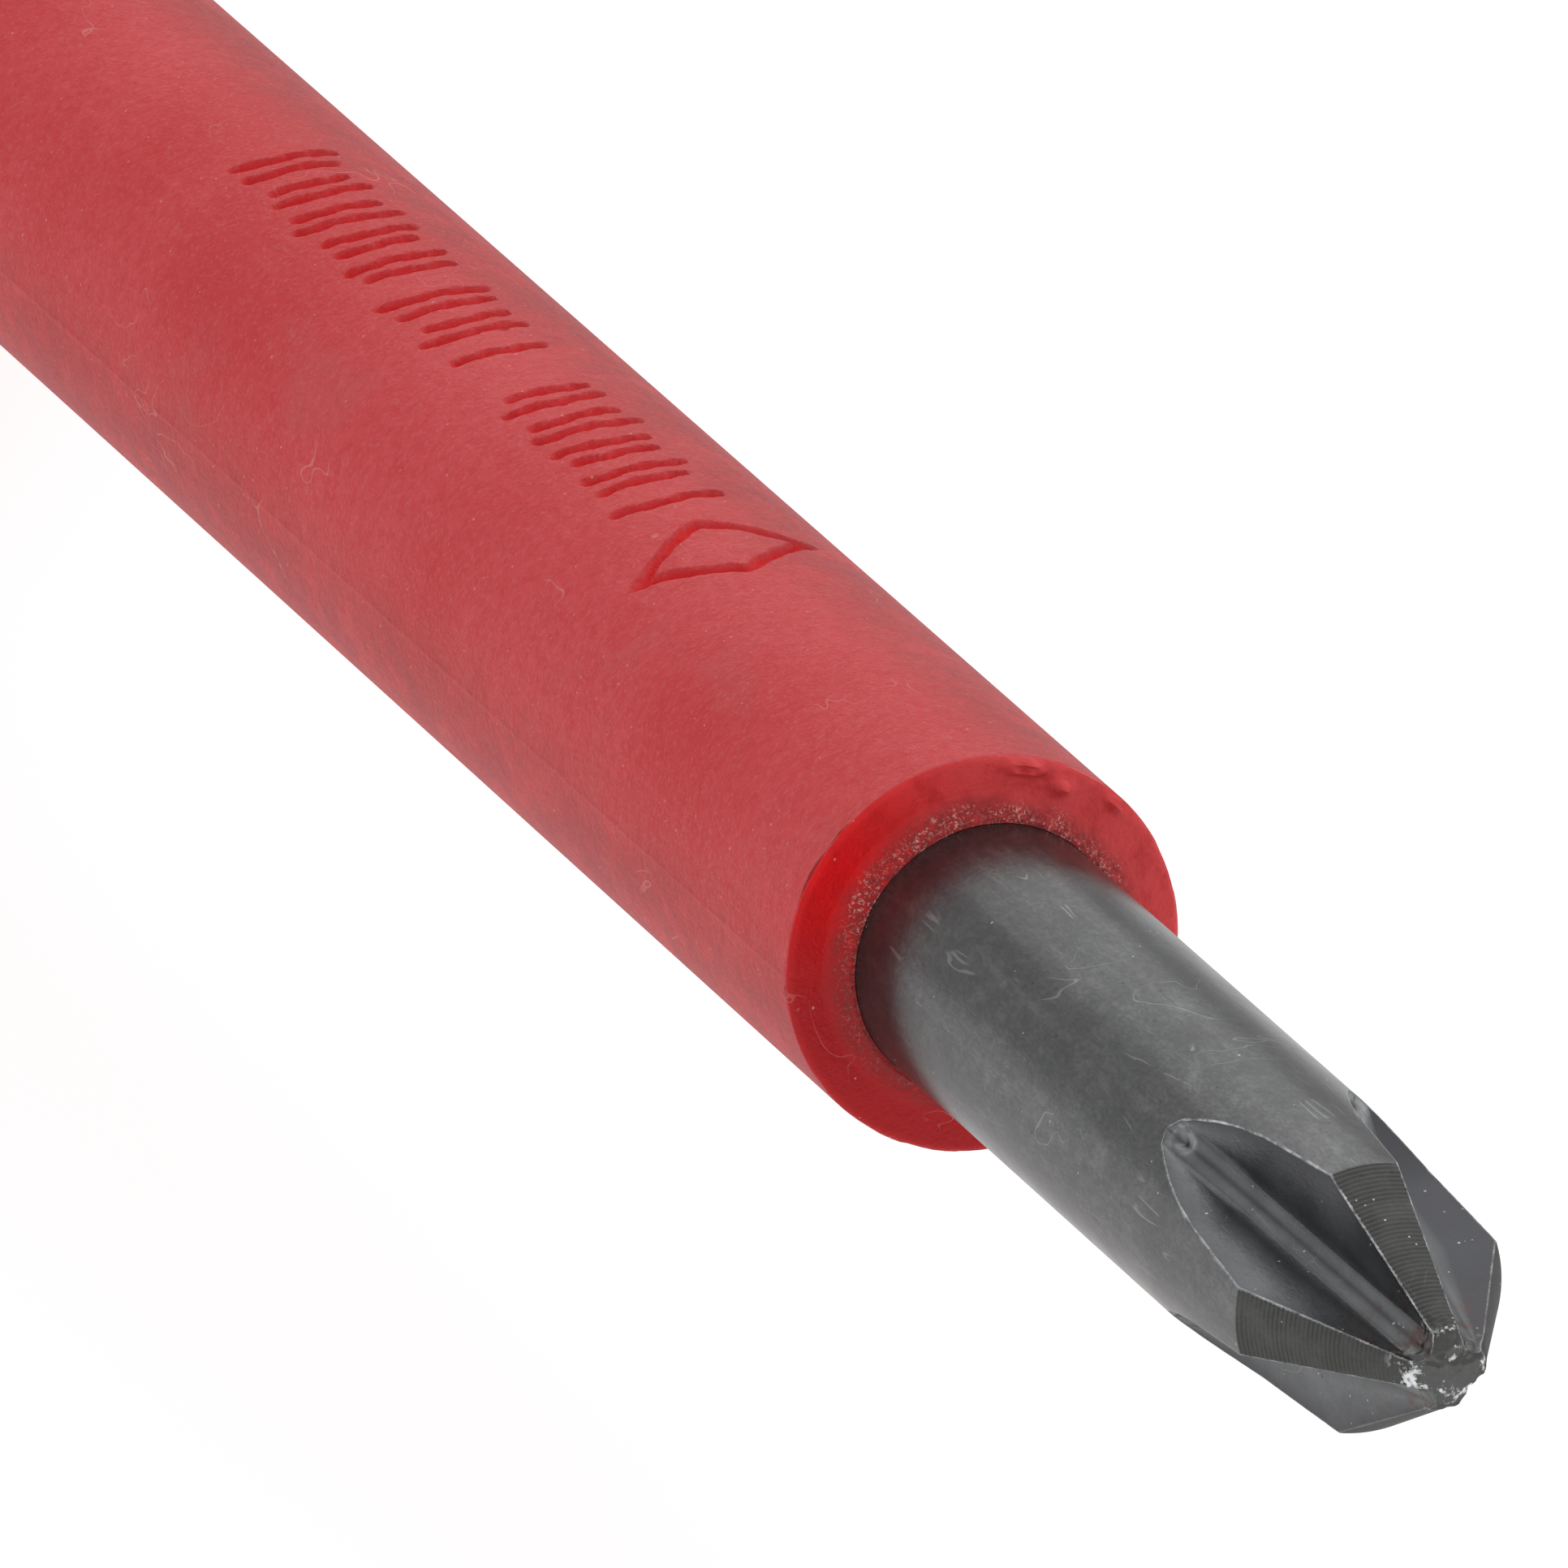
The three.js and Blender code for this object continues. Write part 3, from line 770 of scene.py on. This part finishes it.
def sleeve_stations():
    """Places along the sleeve, behind its face, closer together where there is detail."""
    length = SLEEVE_END - SLEEVE_FRONT
    near_lozenge = 1.4
    last_bar = stroke_places()[-1]
    return merged(
        [0.4, 0.5, 0.6],
        steps(0.8, LOZENGE_CENTRE - near_lozenge, 0.5),
        steps(WITNESS_PLACE - 0.06, WITNESS_PLACE + 0.06, 0.03),
        steps(LOZENGE_CENTRE - near_lozenge, LOZENGE_CENTRE + near_lozenge, 0.05),
        steps(LOZENGE_CENTRE + near_lozenge, last_bar + 0.3, 0.2),
        *[np.linspace(place - 0.18, place + 0.36, 12) for place in stroke_places()],
        steps(last_bar + 0.3, length - 0.05, 0.8),
        digits=4,
    )


def sleeve_angles():
    """Angles round the sleeve, closer together where the marks and fine lines are."""
    dense = steps(math.radians(-49), MARK_ANGLE + math.radians(24), math.radians(0.95))
    witness = WITNESS_ANGLE + np.array([-0.008, 0.0, 0.008])
    seams = [QUARTER * side + np.array([-0.02, -0.01, 0.0, 0.01, 0.02]) for side in (1, 3)]
    rest = steps(dense[-1], dense[0] + 2 * math.pi, math.radians(3.4))[1:-1]
    return np.sort(np.concatenate([dense, witness, *seams, rest]) % (2 * math.pi))


def sleeve_side(from_face, angle):
    """Radius of the sleeve's outside, with its marks, the mould's seams and a fine step."""
    turned = signed(angle)
    radius = SLEEVE_RADIUS - mark_depth(from_face, turned)
    for seam in (QUARTER, -QUARTER):
        radius = radius + SEAM_HEIGHT * np.exp(-(((turned - seam) / 0.011) ** 2))
    step = WITNESS_STEP * smoothstep((WITNESS_ANGLE - turned) / 0.012 + 0.5)
    step = step * smoothstep((turned + WITNESS_ANGLE * 0.8) / 0.012 + 0.5)
    return radius - step * smoothstep((from_face - WITNESS_PLACE) / 0.04 + 0.5)


def towards_bore(radii):
    """0 on the cut face's outer ring, rising to 1 at the bore."""
    return np.clip((LIP_RADIUS - radii) / (LIP_RADIUS - BORE_RADIUS), 0, 1)


def rim_setback(angle):
    return RIM_SETBACK + RIM_SLANT * np.cos(angle - SLANT_ANGLE)


def cut_face(radii, angle):
    """The cut face: an outer ring cut a little askew, then a dusty band that swells to the bore."""
    inward = towards_bore(radii)
    turned = signed(angle)

    def mound(height, at_angle, angle_spread, at_radius, radius_spread):
        far = ((turned - at_angle) / angle_spread) ** 2 + ((radii - at_radius) / radius_spread) ** 2
        return height * np.exp(-far)

    rim_wear = 0.05 * smoothstep((radii - SLEEVE_RADIUS + 0.12) / 0.12) ** 2
    bore_wear = 0.05 * smoothstep(inward * 6 - 5)
    sunk = rim_setback(angle) * (1 - inward**1.4) + rim_wear + bore_wear
    face = placed(SLEEVE_FRONT + sunk, radii + 0 * angle, angle)
    uneven = rough(face, 1.1, 5) * 0.03 + rough(face, 0.3, 6) * 0.01 * (1 + inward)
    nub = mound(0.26, -0.46, 0.055, 2.98, 0.13)
    from_flash = np.hypot((turned + 0.23) / 0.1, (radii - 3.14) / 0.11)
    flash = 0.13 * np.exp(-(((from_flash - 0.75) / 0.45) ** 2))
    bead = mound(0.1, -0.78, 0.06, 3.15, 0.07)
    face[..., 0] -= uneven * MM
    face[..., 0] += (nub + flash + bead) * MM
    return face


def facing(turned, degrees):
    """1 on the side that faces a direction given in degrees, -1 opposite."""
    return np.cos(turned - math.radians(degrees))


def make_sleeve(material):
    """The tube as rings: up the bore, out over the cut face, back along the side, into the bore."""
    stations = sleeve_stations()[:, None]
    angle = sleeve_angles()[None, :]
    outer_radii = steps(SLEEVE_RADIUS - 0.02, LIP_RADIUS, 0.05)
    inner_radii = steps(LIP_RADIUS, BORE_RADIUS, 0.035)[1:]
    radii = np.concatenate([outer_radii, inner_radii])[:, None]
    side = placed(SLEEVE_FRONT + stations, sleeve_side(stations, angle), angle)
    face = cut_face(radii, angle)
    rim = placed(SLEEVE_FRONT + rim_setback(angle) + 0.07, SLEEVE_RADIUS + 0 * angle, angle)
    nicks = smoothstep((rough(rim, 0.45, 8) - 0.1) / 0.2)
    rim[..., 0] -= nicks * NICK_DEPTH * MM
    bore_ends = np.array([SLEEVE_FRONT + 0.4, SLEEVE_END])[:, None]
    bore = placed(bore_ends, BORE_RADIUS + 0 * angle, angle)
    tail = placed(SLEEVE_END, SLEEVE_RADIUS - 0.05 + 0 * angle, angle)
    rings = np.concatenate([bore[::-1], face[::-1], rim, side, tail, bore[1:]])

    names = "cut", "dusty", "crumbs", "mark", "painted_sheen", "painted_shadow", "silhouette_shade"
    fields = {name: np.zeros(rings.shape[:2]) for name in names}
    face_start = len(bore)
    side_start = face_start + len(face) + 1
    on_face = slice(face_start, face_start + len(face))
    on_side = slice(side_start, side_start + len(side))
    inward = towards_bore(radii)
    turned = signed(angle)
    band = smoothstep(inward * 1.3 + 0.12 + 0.25 * rough(face, 0.5, 9))
    piled = smoothstep(inward * 2.2 - 0.35 + 0.5 * rough(face, 0.4, 14))
    piled = piled * (0.2 + 0.8 * smoothstep((np.cos(turned) + 0.1) / 0.6))
    # Painted shade on the sides seen edge-on: the lower one faces 140 degrees, the upper one -52 degrees.
    under = smoothstep(facing(turned, 140) * 1.6 - 0.5)
    above = smoothstep(facing(turned, -52) * 2.4 - 1.3)
    fields["cut"][on_face] = 1
    fields["dusty"][:face_start] = 1
    fields["dusty"][on_face] = (band * (inward > 0))[::-1]
    fields["crumbs"][on_face] = piled[::-1]
    fields["mark"][on_side] = mark_depth(stations, turned) / MARK_DEPTH
    # Painted sheen on the cut face's upper right side, and a painted shadow of the shank on its lower
    # left.
    fields["painted_sheen"][:] = smoothstep((0.55 - facing(turned, 115)) / 1.1)
    fields["painted_shadow"][:] = smoothstep(facing(turned, 140) * 1.5 - 0.2)
    fields["silhouette_shade"][:] = np.maximum(under, above)
    piece = make_piece("sleeve_insulation", grid(rings), material, 38, **fields)
    stands_for(piece, "sleeve_red", "blade_sleeve")


# ---- Handle ----
def turned_radius(from_nose):
    """Radius of the handle's turned outline, which ends in a dome."""
    from_nose = np.asarray(from_nose, float)
    radius = np.full(from_nose.shape, float(OUTLINE[0][1]))
    for (start, low), (end, high) in zip(OUTLINE, OUTLINE[1:]):
        share = smoothstep((from_nose - start) / (end - start))
        radius = np.where(from_nose >= start, low + (high - low) * share, radius)
    length = HANDLE_END - NOSE - DOME_START
    bend = np.sqrt(np.clip(1 - ((from_nose - DOME_START) / length) ** 2, 0, 1))
    dome = DOME_END_RADIUS + (DOME_START_RADIUS - DOME_END_RADIUS) * bend
    return np.where(from_nose > DOME_START, dome, radius)


def handle_radius(from_nose, angle):
    """Radius of the turned outline cut to a hexagon, with the corners eased."""
    sixth = math.pi / 3
    from_flat = (angle + sixth / 2) % sixth - sixth / 2
    flat = HEX_APOTHEM / np.cos(from_flat)
    turned = turned_radius(from_nose)
    share = np.clip(0.5 + 0.5 * (turned - flat) / HEX_EASE, 0, 1)
    return turned + (flat - turned) * share - HEX_EASE * share * (1 - share)


def on_handle(from_nose, angle, offset):
    return placed(NOSE + from_nose, handle_radius(from_nose, angle) + offset, angle)


def on_web(web, centre, offset):
    """Points on the handle from rows of (distance from the nose, angle from centre)."""
    return on_handle(web[:, 0], centre + web[:, 1], offset)


def resampled(line, count):
    """count + 1 points spaced evenly along a line of points."""
    lengths = np.concatenate([[0], np.cumsum(np.hypot(*np.diff(line, axis=0).T))])
    wanted = np.linspace(0, lengths[-1], count + 1)
    return np.stack([np.interp(wanted, lengths, line[:, i]) for i in (0, 1)], axis=-1)


def slot_outline(front, rear, radius, long_count, end_count):
    """Points round a slot with round ends, in four runs that face the sides of a rectangle."""
    def arc(centre, start, end):
        turn = np.radians(np.linspace(start, end, 24))
        return np.stack([centre + radius * np.cos(turn), radius * np.sin(turn)], axis=-1)
    lower = np.concatenate([arc(front, 225, 270), arc(rear, 270, 315)])
    right = arc(rear, -45, 45)
    upper = np.concatenate([arc(rear, 45, 90), arc(front, 90, 135)])
    left = arc(front, 135, 225)
    runs = ((lower, long_count), (right, end_count), (upper, long_count), (left, end_count))
    return np.concatenate([resampled(line, count)[:-1] for line, count in runs])


def pad_outline(radius, long_count, end_count):
    """A pad's outline, or one inside or outside it, at radius from the pad's spine."""
    front, rear = PAD_START + PAD_RADIUS, PAD_END - PAD_RADIUS
    return slot_outline(front, rear, radius, long_count, end_count)


def rectangle(front, rear, half_angle, long_count, end_count):
    """Points round a rectangle of distance by angle, matching slot_outline's runs."""
    corners = [(front, -half_angle), (rear, -half_angle), (rear, half_angle), (front, half_angle)]
    counts = (long_count, end_count, long_count, end_count)
    runs = []
    for i, count in enumerate(counts):
        line = np.array([corners[i], corners[(i + 1) % 4]], float)
        share = np.linspace(0, 1, count + 1)[:-1, None]
        runs.append(line[0] + (line[1] - line[0]) * share)
    return np.concatenate(runs)


def to_angle(outline):
    """A flat outline of (distance, across) as (distance, angle) on the handle."""
    height = handle_radius(outline[:, 0], 0.0)
    return np.stack([outline[:, 0], np.arctan2(outline[:, 1], height)], axis=-1)


SECTOR_COLUMNS = 14
SECTOR_ROWS = 92
SECTOR_FRONT = 42.0


def body_sector(centre):
    """A sixth of the belly: a web of points from the sector's border in to its pocket's floor."""
    counts = SECTOR_ROWS, SECTOR_COLUMNS
    pocket = to_angle(pad_outline(PAD_RADIUS + GAP, *counts))
    border = rectangle(SECTOR_FRONT, BODY_END, math.pi / 6, *counts)
    rings = []
    for share in (0, 0.2, 0.4, 0.6, 0.75, 0.87, 0.94, 1):
        web = border + (pocket - border) * share
        dip = -0.3 * smoothstep((share - 0.7) / 0.3)
        rings.append(on_web(web, centre, dip))
    for offset in (-0.36, -0.5, -1.0, -PAD_DEPTH, -PAD_DEPTH - GAP):
        rings.append(on_web(pocket, centre, offset))
    for share in (0.8, 0.5, 0.2, 0.0):
        radius = max((PAD_RADIUS - GAP) * share, POINT_RADIUS)
        floor = to_angle(pad_outline(radius, *counts))
        rings.append(on_web(floor, centre, -PAD_DEPTH - GAP))
    return grid(np.array(rings))


def ring_angles(columns):
    return np.arange(columns) * 2 * math.pi / columns + math.pi / 6


def surface_rings(outline, columns):
    """Rings round the handle from rows of (distance from the nose, offset from its surface)."""
    angle = ring_angles(columns)
    return np.array([on_handle(from_nose, angle, offset) for from_nose, offset in outline])


def bore_rings(outline, columns):
    """Round rings from rows of (distance from the nose, radius)."""
    angle = ring_angles(columns)
    return np.array([placed(NOSE + from_nose, radius, angle) for from_nose, radius in outline])


def make_body(material):
    """The shell: its nose and waist groove, its bore from the rear, and the six sectors between."""
    groove_floor = -(GRIP_DEPTH + GAP)
    front = [(0.0, -0.5), (0.12, -0.2), (0.45, 0.0)]
    front += [(place, 0.0) for place in steps(1.0, GRIP_START - 1.0, 0.5)]
    front += [(GRIP_START - 0.6, 0.0), (GRIP_START - 0.35, -0.06), (GRIP_START - GAP, -0.25)]
    front += [(GRIP_START - GAP, groove_floor), (GRIP_END + GAP, groove_floor)]
    front += [(GRIP_END + GAP, -0.25), (GRIP_END + 0.35, -0.06), (GRIP_END + 0.6, 0.0)]
    front += [(SECTOR_FRONT, 0.0)]
    bore = [(BODY_END, CAP_BORE_RADIUS), (CAP_BORE_START, CAP_BORE_RADIUS)]
    bore += [(CAP_BORE_START, CORE_BORE_RADIUS), (CORE_BORE_START, CORE_BORE_RADIUS)]
    bore += [(CORE_BORE_START, SLEEVE_BORE_RADIUS), (0.0, SLEEVE_BORE_RADIUS)]
    columns = 6 * SECTOR_COLUMNS
    rear_edge = surface_rings([(BODY_END, 0.0)], columns)
    nose_edge = surface_rings([(0.0, -0.5)], columns)
    rear = np.concatenate([rear_edge, bore_rings(bore, columns), nose_edge])
    patches = [grid(surface_rings(front, columns)), grid(rear)]
    patches += [body_sector(index * math.pi / 3) for index in range(6)]
    piece = make_piece("handle_shell", joined(patches), material, 34)
    stands_for(piece, "handle_red", "handle_body")


def pad_surface(centre):
    """One pad: a crowned top with cross grooves, a rounded edge, and its seat in the pocket."""
    groove_pitch, groove_depth, groove_half_width = 3.4, 0.35, 0.55
    grooved_half_length, grooved_radius = 16, 3.6
    rings = []

    def ring(radius, height):
        web = to_angle(pad_outline(radius, 200, 22))
        from_middle = np.abs(web[:, 0] - (PAD_START + PAD_END) / 2)
        from_groove = np.abs((web[:, 0] - PAD_START) / groove_pitch % 1 - 0.5) * groove_pitch
        cut = smoothstep((groove_half_width - from_groove) / 0.35)
        cut = cut * (from_middle < grooved_half_length)
        cut = cut * smoothstep((grooved_radius - radius) / 0.5)
        top = height - groove_depth * cut if height > -0.4 else height
        rings.append(on_web(web, centre, top))

    ring(0.0, -PAD_DEPTH)
    ring(PAD_RADIUS - 0.05, -PAD_DEPTH)
    ring(PAD_RADIUS, -PAD_DEPTH + 0.1)
    ring(PAD_RADIUS, -0.6)
    for turn in np.linspace(0, QUARTER, 7)[1:]:
        ring(PAD_RADIUS - 0.55 * (1 - math.cos(turn)), -0.6 + 0.5 * math.sin(turn))
    for share in np.linspace(1, 0, 15)[1:]:
        ring((PAD_RADIUS - 0.55) * share, -0.1 * share**2)
    return grid(np.array(rings))


def make_pads(material):
    for index in range(6):
        surface = pad_surface(index * math.pi / 3)
        piece = make_piece(f"pad_soft_{index + 1}", surface, material, 50)
        stands_for(piece, "soft_grip", f"grip_pad_{index + 1}")


def make_waist_grip(material):
    """The soft ring: rounded ribs across it, between plain margins."""
    ribs, margin = 7, 1.3
    places = steps(GRIP_START, GRIP_END, 0.08)
    inside = (places - GRIP_START - margin) / (GRIP_END - GRIP_START - 2 * margin)
    wave = np.abs(np.sin(np.clip(inside, 0, 1) * math.pi * ribs))
    offset = -0.55 * (1 - wave**0.7) * ((inside > 0) & (inside < 1))
    edge = np.minimum(places - GRIP_START, GRIP_END - places)
    offset = offset - 0.35 * (1 - np.sqrt(np.clip(1 - (1 - np.clip(edge / 0.4, 0, 1)) ** 2, 0, 1)))
    outline = [(GRIP_START, -GRIP_DEPTH), *zip(places, offset)]
    outline += [(GRIP_END, -GRIP_DEPTH), (GRIP_START, -GRIP_DEPTH)]
    piece = make_piece("waist_soft", grid(surface_rings(outline, 120)), material, 50)
    stands_for(piece, "soft_grip", "waist_grip")


def cap_hole_side(centre, front, rear, count):
    """A quarter of the cap's side with the hanging hole's rim and half of its wall."""
    border = rectangle(front, rear, math.pi / 4, count, count)
    rings = []

    def circle(radius):
        return slot_outline(HOLE_CENTRE, HOLE_CENTRE, radius, count, count)

    def at_height(outline, height):
        angle = np.arctan2(outline[:, 1], np.maximum(height, TINY))
        radius = np.hypot(outline[:, 1], height)
        rings.append(placed(NOSE + outline[:, 0], radius, centre + angle))

    rim = 0.7
    for share in (0, 0.3, 0.6, 0.85, 1):
        outline = circle(HOLE_RADIUS + rim)
        outline[:, 1] = np.arcsin(outline[:, 1] / turned_radius(outline[:, 0]))
        web = border + (outline - border) * share
        rings.append(placed(NOSE + web[:, 0], turned_radius(web[:, 0]), centre + web[:, 1]))
    for turn in np.linspace(0, QUARTER, 6)[1:]:
        outline = circle(HOLE_RADIUS + rim * (1 - math.sin(turn)))
        surface = np.sqrt(turned_radius(outline[:, 0]) ** 2 - outline[:, 1] ** 2)
        height = surface - rim * (1 - math.cos(turn))
        at_height(outline, height)
    for share in (0.66, 0.33, 0.0):
        at_height(outline, height * share)
    return grid(np.array(rings))


def make_cap(material):
    """The cap: spigot, seam and side in front, the dome with the disc's recess behind the hole."""
    count = 24
    length = HANDLE_END - NOSE
    side_front, side_rear = 91.0, 103.9
    quarters = 4 * count
    angle = np.arange(quarters) * 2 * math.pi / quarters + math.pi / 4

    def rings(rows):
        return grid(np.array([placed(NOSE + place, radius, angle) for place, radius in rows]))

    def on_side(places):
        return [(place, float(turned_radius(place))) for place in places]

    seam_radius = float(turned_radius(CAP_SEAM))
    front = [(CAP_START, 0.0), (CAP_START, SPIGOT_RADIUS - 0.3), (CAP_START + 0.3, SPIGOT_RADIUS)]
    front += [(CAP_SEAM, SPIGOT_RADIUS), (CAP_SEAM, seam_radius - 0.35)]
    front += [(CAP_SEAM + 0.1, seam_radius - 0.12), *on_side([CAP_SEAM + 0.35])]
    front += on_side(steps(CAP_SEAM + 0.6, side_front, 0.4))
    recess = length - 1.2
    bend = np.linspace(0, 1, 14)
    rear = on_side(side_rear + (length - side_rear) * (1 - (1 - bend) ** 2))
    rear += [(length, DISC_RADIUS + GAP + 0.15), (length, DISC_RADIUS + GAP)]
    rear += [(recess, DISC_RADIUS + GAP), (recess, 0.0)]
    patches = [rings(front), rings(rear)]
    share = np.linspace(0, 1, count + 1)
    places = side_front + (side_rear - side_front) * share
    for side in (0, 2):
        web = np.linspace(-math.pi / 4, math.pi / 4, count + 1)[None, :] + side * QUARTER
        radius = turned_radius(places)[:, None] + 0 * web
        patches.append(grid(placed(NOSE + places[:, None], radius, web), wrap=False))
    patches += [cap_hole_side(side * QUARTER, side_front, side_rear, count) for side in (1, 3)]
    piece = make_piece("cap_hard", joined(patches), material, 40)
    stands_for(piece, "cap_plastic", "end_cap")


def make_disc(material):
    """The marker disc, with a plain cross sunk in it and eased edges."""
    thickness = (disc_high.x - disc_low.x) / MM
    bpy.ops.mesh.primitive_cylinder_add(
        vertices=96,
        radius=DISC_RADIUS * MM,
        depth=thickness * MM,
        location=((disc_low.x + disc_high.x) / 2, 0, AXIS_Z),
        rotation=(0, QUARTER, 0),
    )
    disc = bpy.context.object
    disc.name = "disc_marker"
    bpy.ops.object.transform_apply(location=True, rotation=True, scale=True)

    def apply(kind, **settings):
        bpy.context.view_layer.objects.active = disc
        modifier = disc.modifiers.new(kind, kind)
        for setting, value in settings.items():
            setattr(modifier, setting, value)
        bpy.ops.object.modifier_apply(modifier=kind)

    narrow, reach = 0.55, 2.5
    for half_y, half_z in ((narrow, reach), (reach, narrow)):
        bpy.ops.mesh.primitive_cube_add(size=2 * MM, location=(disc_low.x, 0, AXIS_Z))
        bar = bpy.context.object
        bar.scale = (0.5, half_y, half_z)
        apply("BOOLEAN", operation="DIFFERENCE", object=bar, solver="EXACT")
        bpy.data.objects.remove(bar)
    apply("BEVEL", width=0.12 * MM, segments=3, limit_method="ANGLE")
    disc.data.shade_smooth()
    disc.data.set_sharp_from_angle(angle=math.radians(30))
    disc.data.materials.clear()
    disc.data.materials.append(material)
    stands_for(disc, "disc_plastic", "marker_disc")


def finish_core(material):
    """The core keeps its CAD mesh: it is sealed inside the handle."""
    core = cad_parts["handle_core"]
    core.data.materials.clear()
    core.data.materials.append(material)


# ---- Stage ----
def make_floor():
    bpy.ops.mesh.primitive_plane_add(size=6, location=(0, 0, CAD_BOX[0].z))
    floor = bpy.context.object
    floor.name = "floor"
    pale = Shader("pale_floor", Base_Color=(0.4, 0.4, 0.4, 1), Roughness=0.9)
    pale.feed_all(pale.principled, Specular_IOR_Level=0.1, Emission_Strength=0.72)
    floor.data.materials.append(pale.material)


def add_area(name, place, target, size, power):
    light = bpy.data.lights.new(name, "AREA")
    light.shape = "DISK"
    light.size = size
    light.energy = power
    lamp = bpy.data.objects.new(name, light)
    lamp.location = place
    lamp.rotation_mode = "QUATERNION"
    lamp.visible_camera = False
    lamp.rotation_quaternion = (Vector(target) - Vector(place)).to_track_quat("-Z", "Y")
    scene.collection.objects.link(lamp)


def make_lights():
    world = bpy.data.worlds.new("studio")
    scene.world = world
    world.use_nodes = True
    background = world.node_tree.nodes["Background"]
    background.inputs["Color"].default_value = (1, 1, 1, 1)
    background.inputs["Strength"].default_value = 0.66
    add_area("back_soft", (-0.74, 0.15, 0.42), (0.04, 0, 0.01), 0.6, 0.5)
    add_area("top_soft", (-0.3, 0.4, 0.8), (0.06, 0, 0), 1.2, 3.0)
    add_area("front_soft", (0.6, 0.4, 0.6), (0.08, 0, 0.01), 0.6, 0.6)
    scene.view_settings.view_transform = "Standard"


def make_camera():
    """Close to the blade and almost along it, with a long lens."""
    azimuth, elevation = math.radians(68.4), math.radians(20.7)
    distance, aim_behind_tip, aim_below_axis = 0.75, 28.2, 0.13
    level = math.cos(elevation)
    back = Vector((math.sin(azimuth) * level, -math.cos(azimuth) * level, math.sin(elevation)))
    target = Vector((TIP_X - aim_behind_tip * MM, 0, AXIS_Z - aim_below_axis * MM))
    camera = bpy.data.objects.new("camera", bpy.data.cameras.new("camera"))
    camera.data.sensor_width = 36
    camera.data.lens = 1072
    camera.data.clip_start = 0.01
    camera.data.clip_end = 20
    camera.location = target + back * distance
    camera.rotation_mode = "QUATERNION"
    camera.rotation_quaternion = (-back).to_track_quat("-Z", "Y")
    scene.collection.objects.link(camera)
    scene.camera = camera


make_camera()
make_lights()
make_floor()
make_blade(blackened_steel())
make_sleeve(sleeve_red())
make_body(handle_red())
soft = soft_grip()
make_pads(soft)
make_waist_grip(soft)
make_cap(cap_plastic())
make_disc(pale_plastic("disc_plastic", srgb(222, 218, 208), srgb(206, 200, 188)))
finish_core(pale_plastic("core_plastic", srgb(186, 182, 172), srgb(170, 164, 152)))
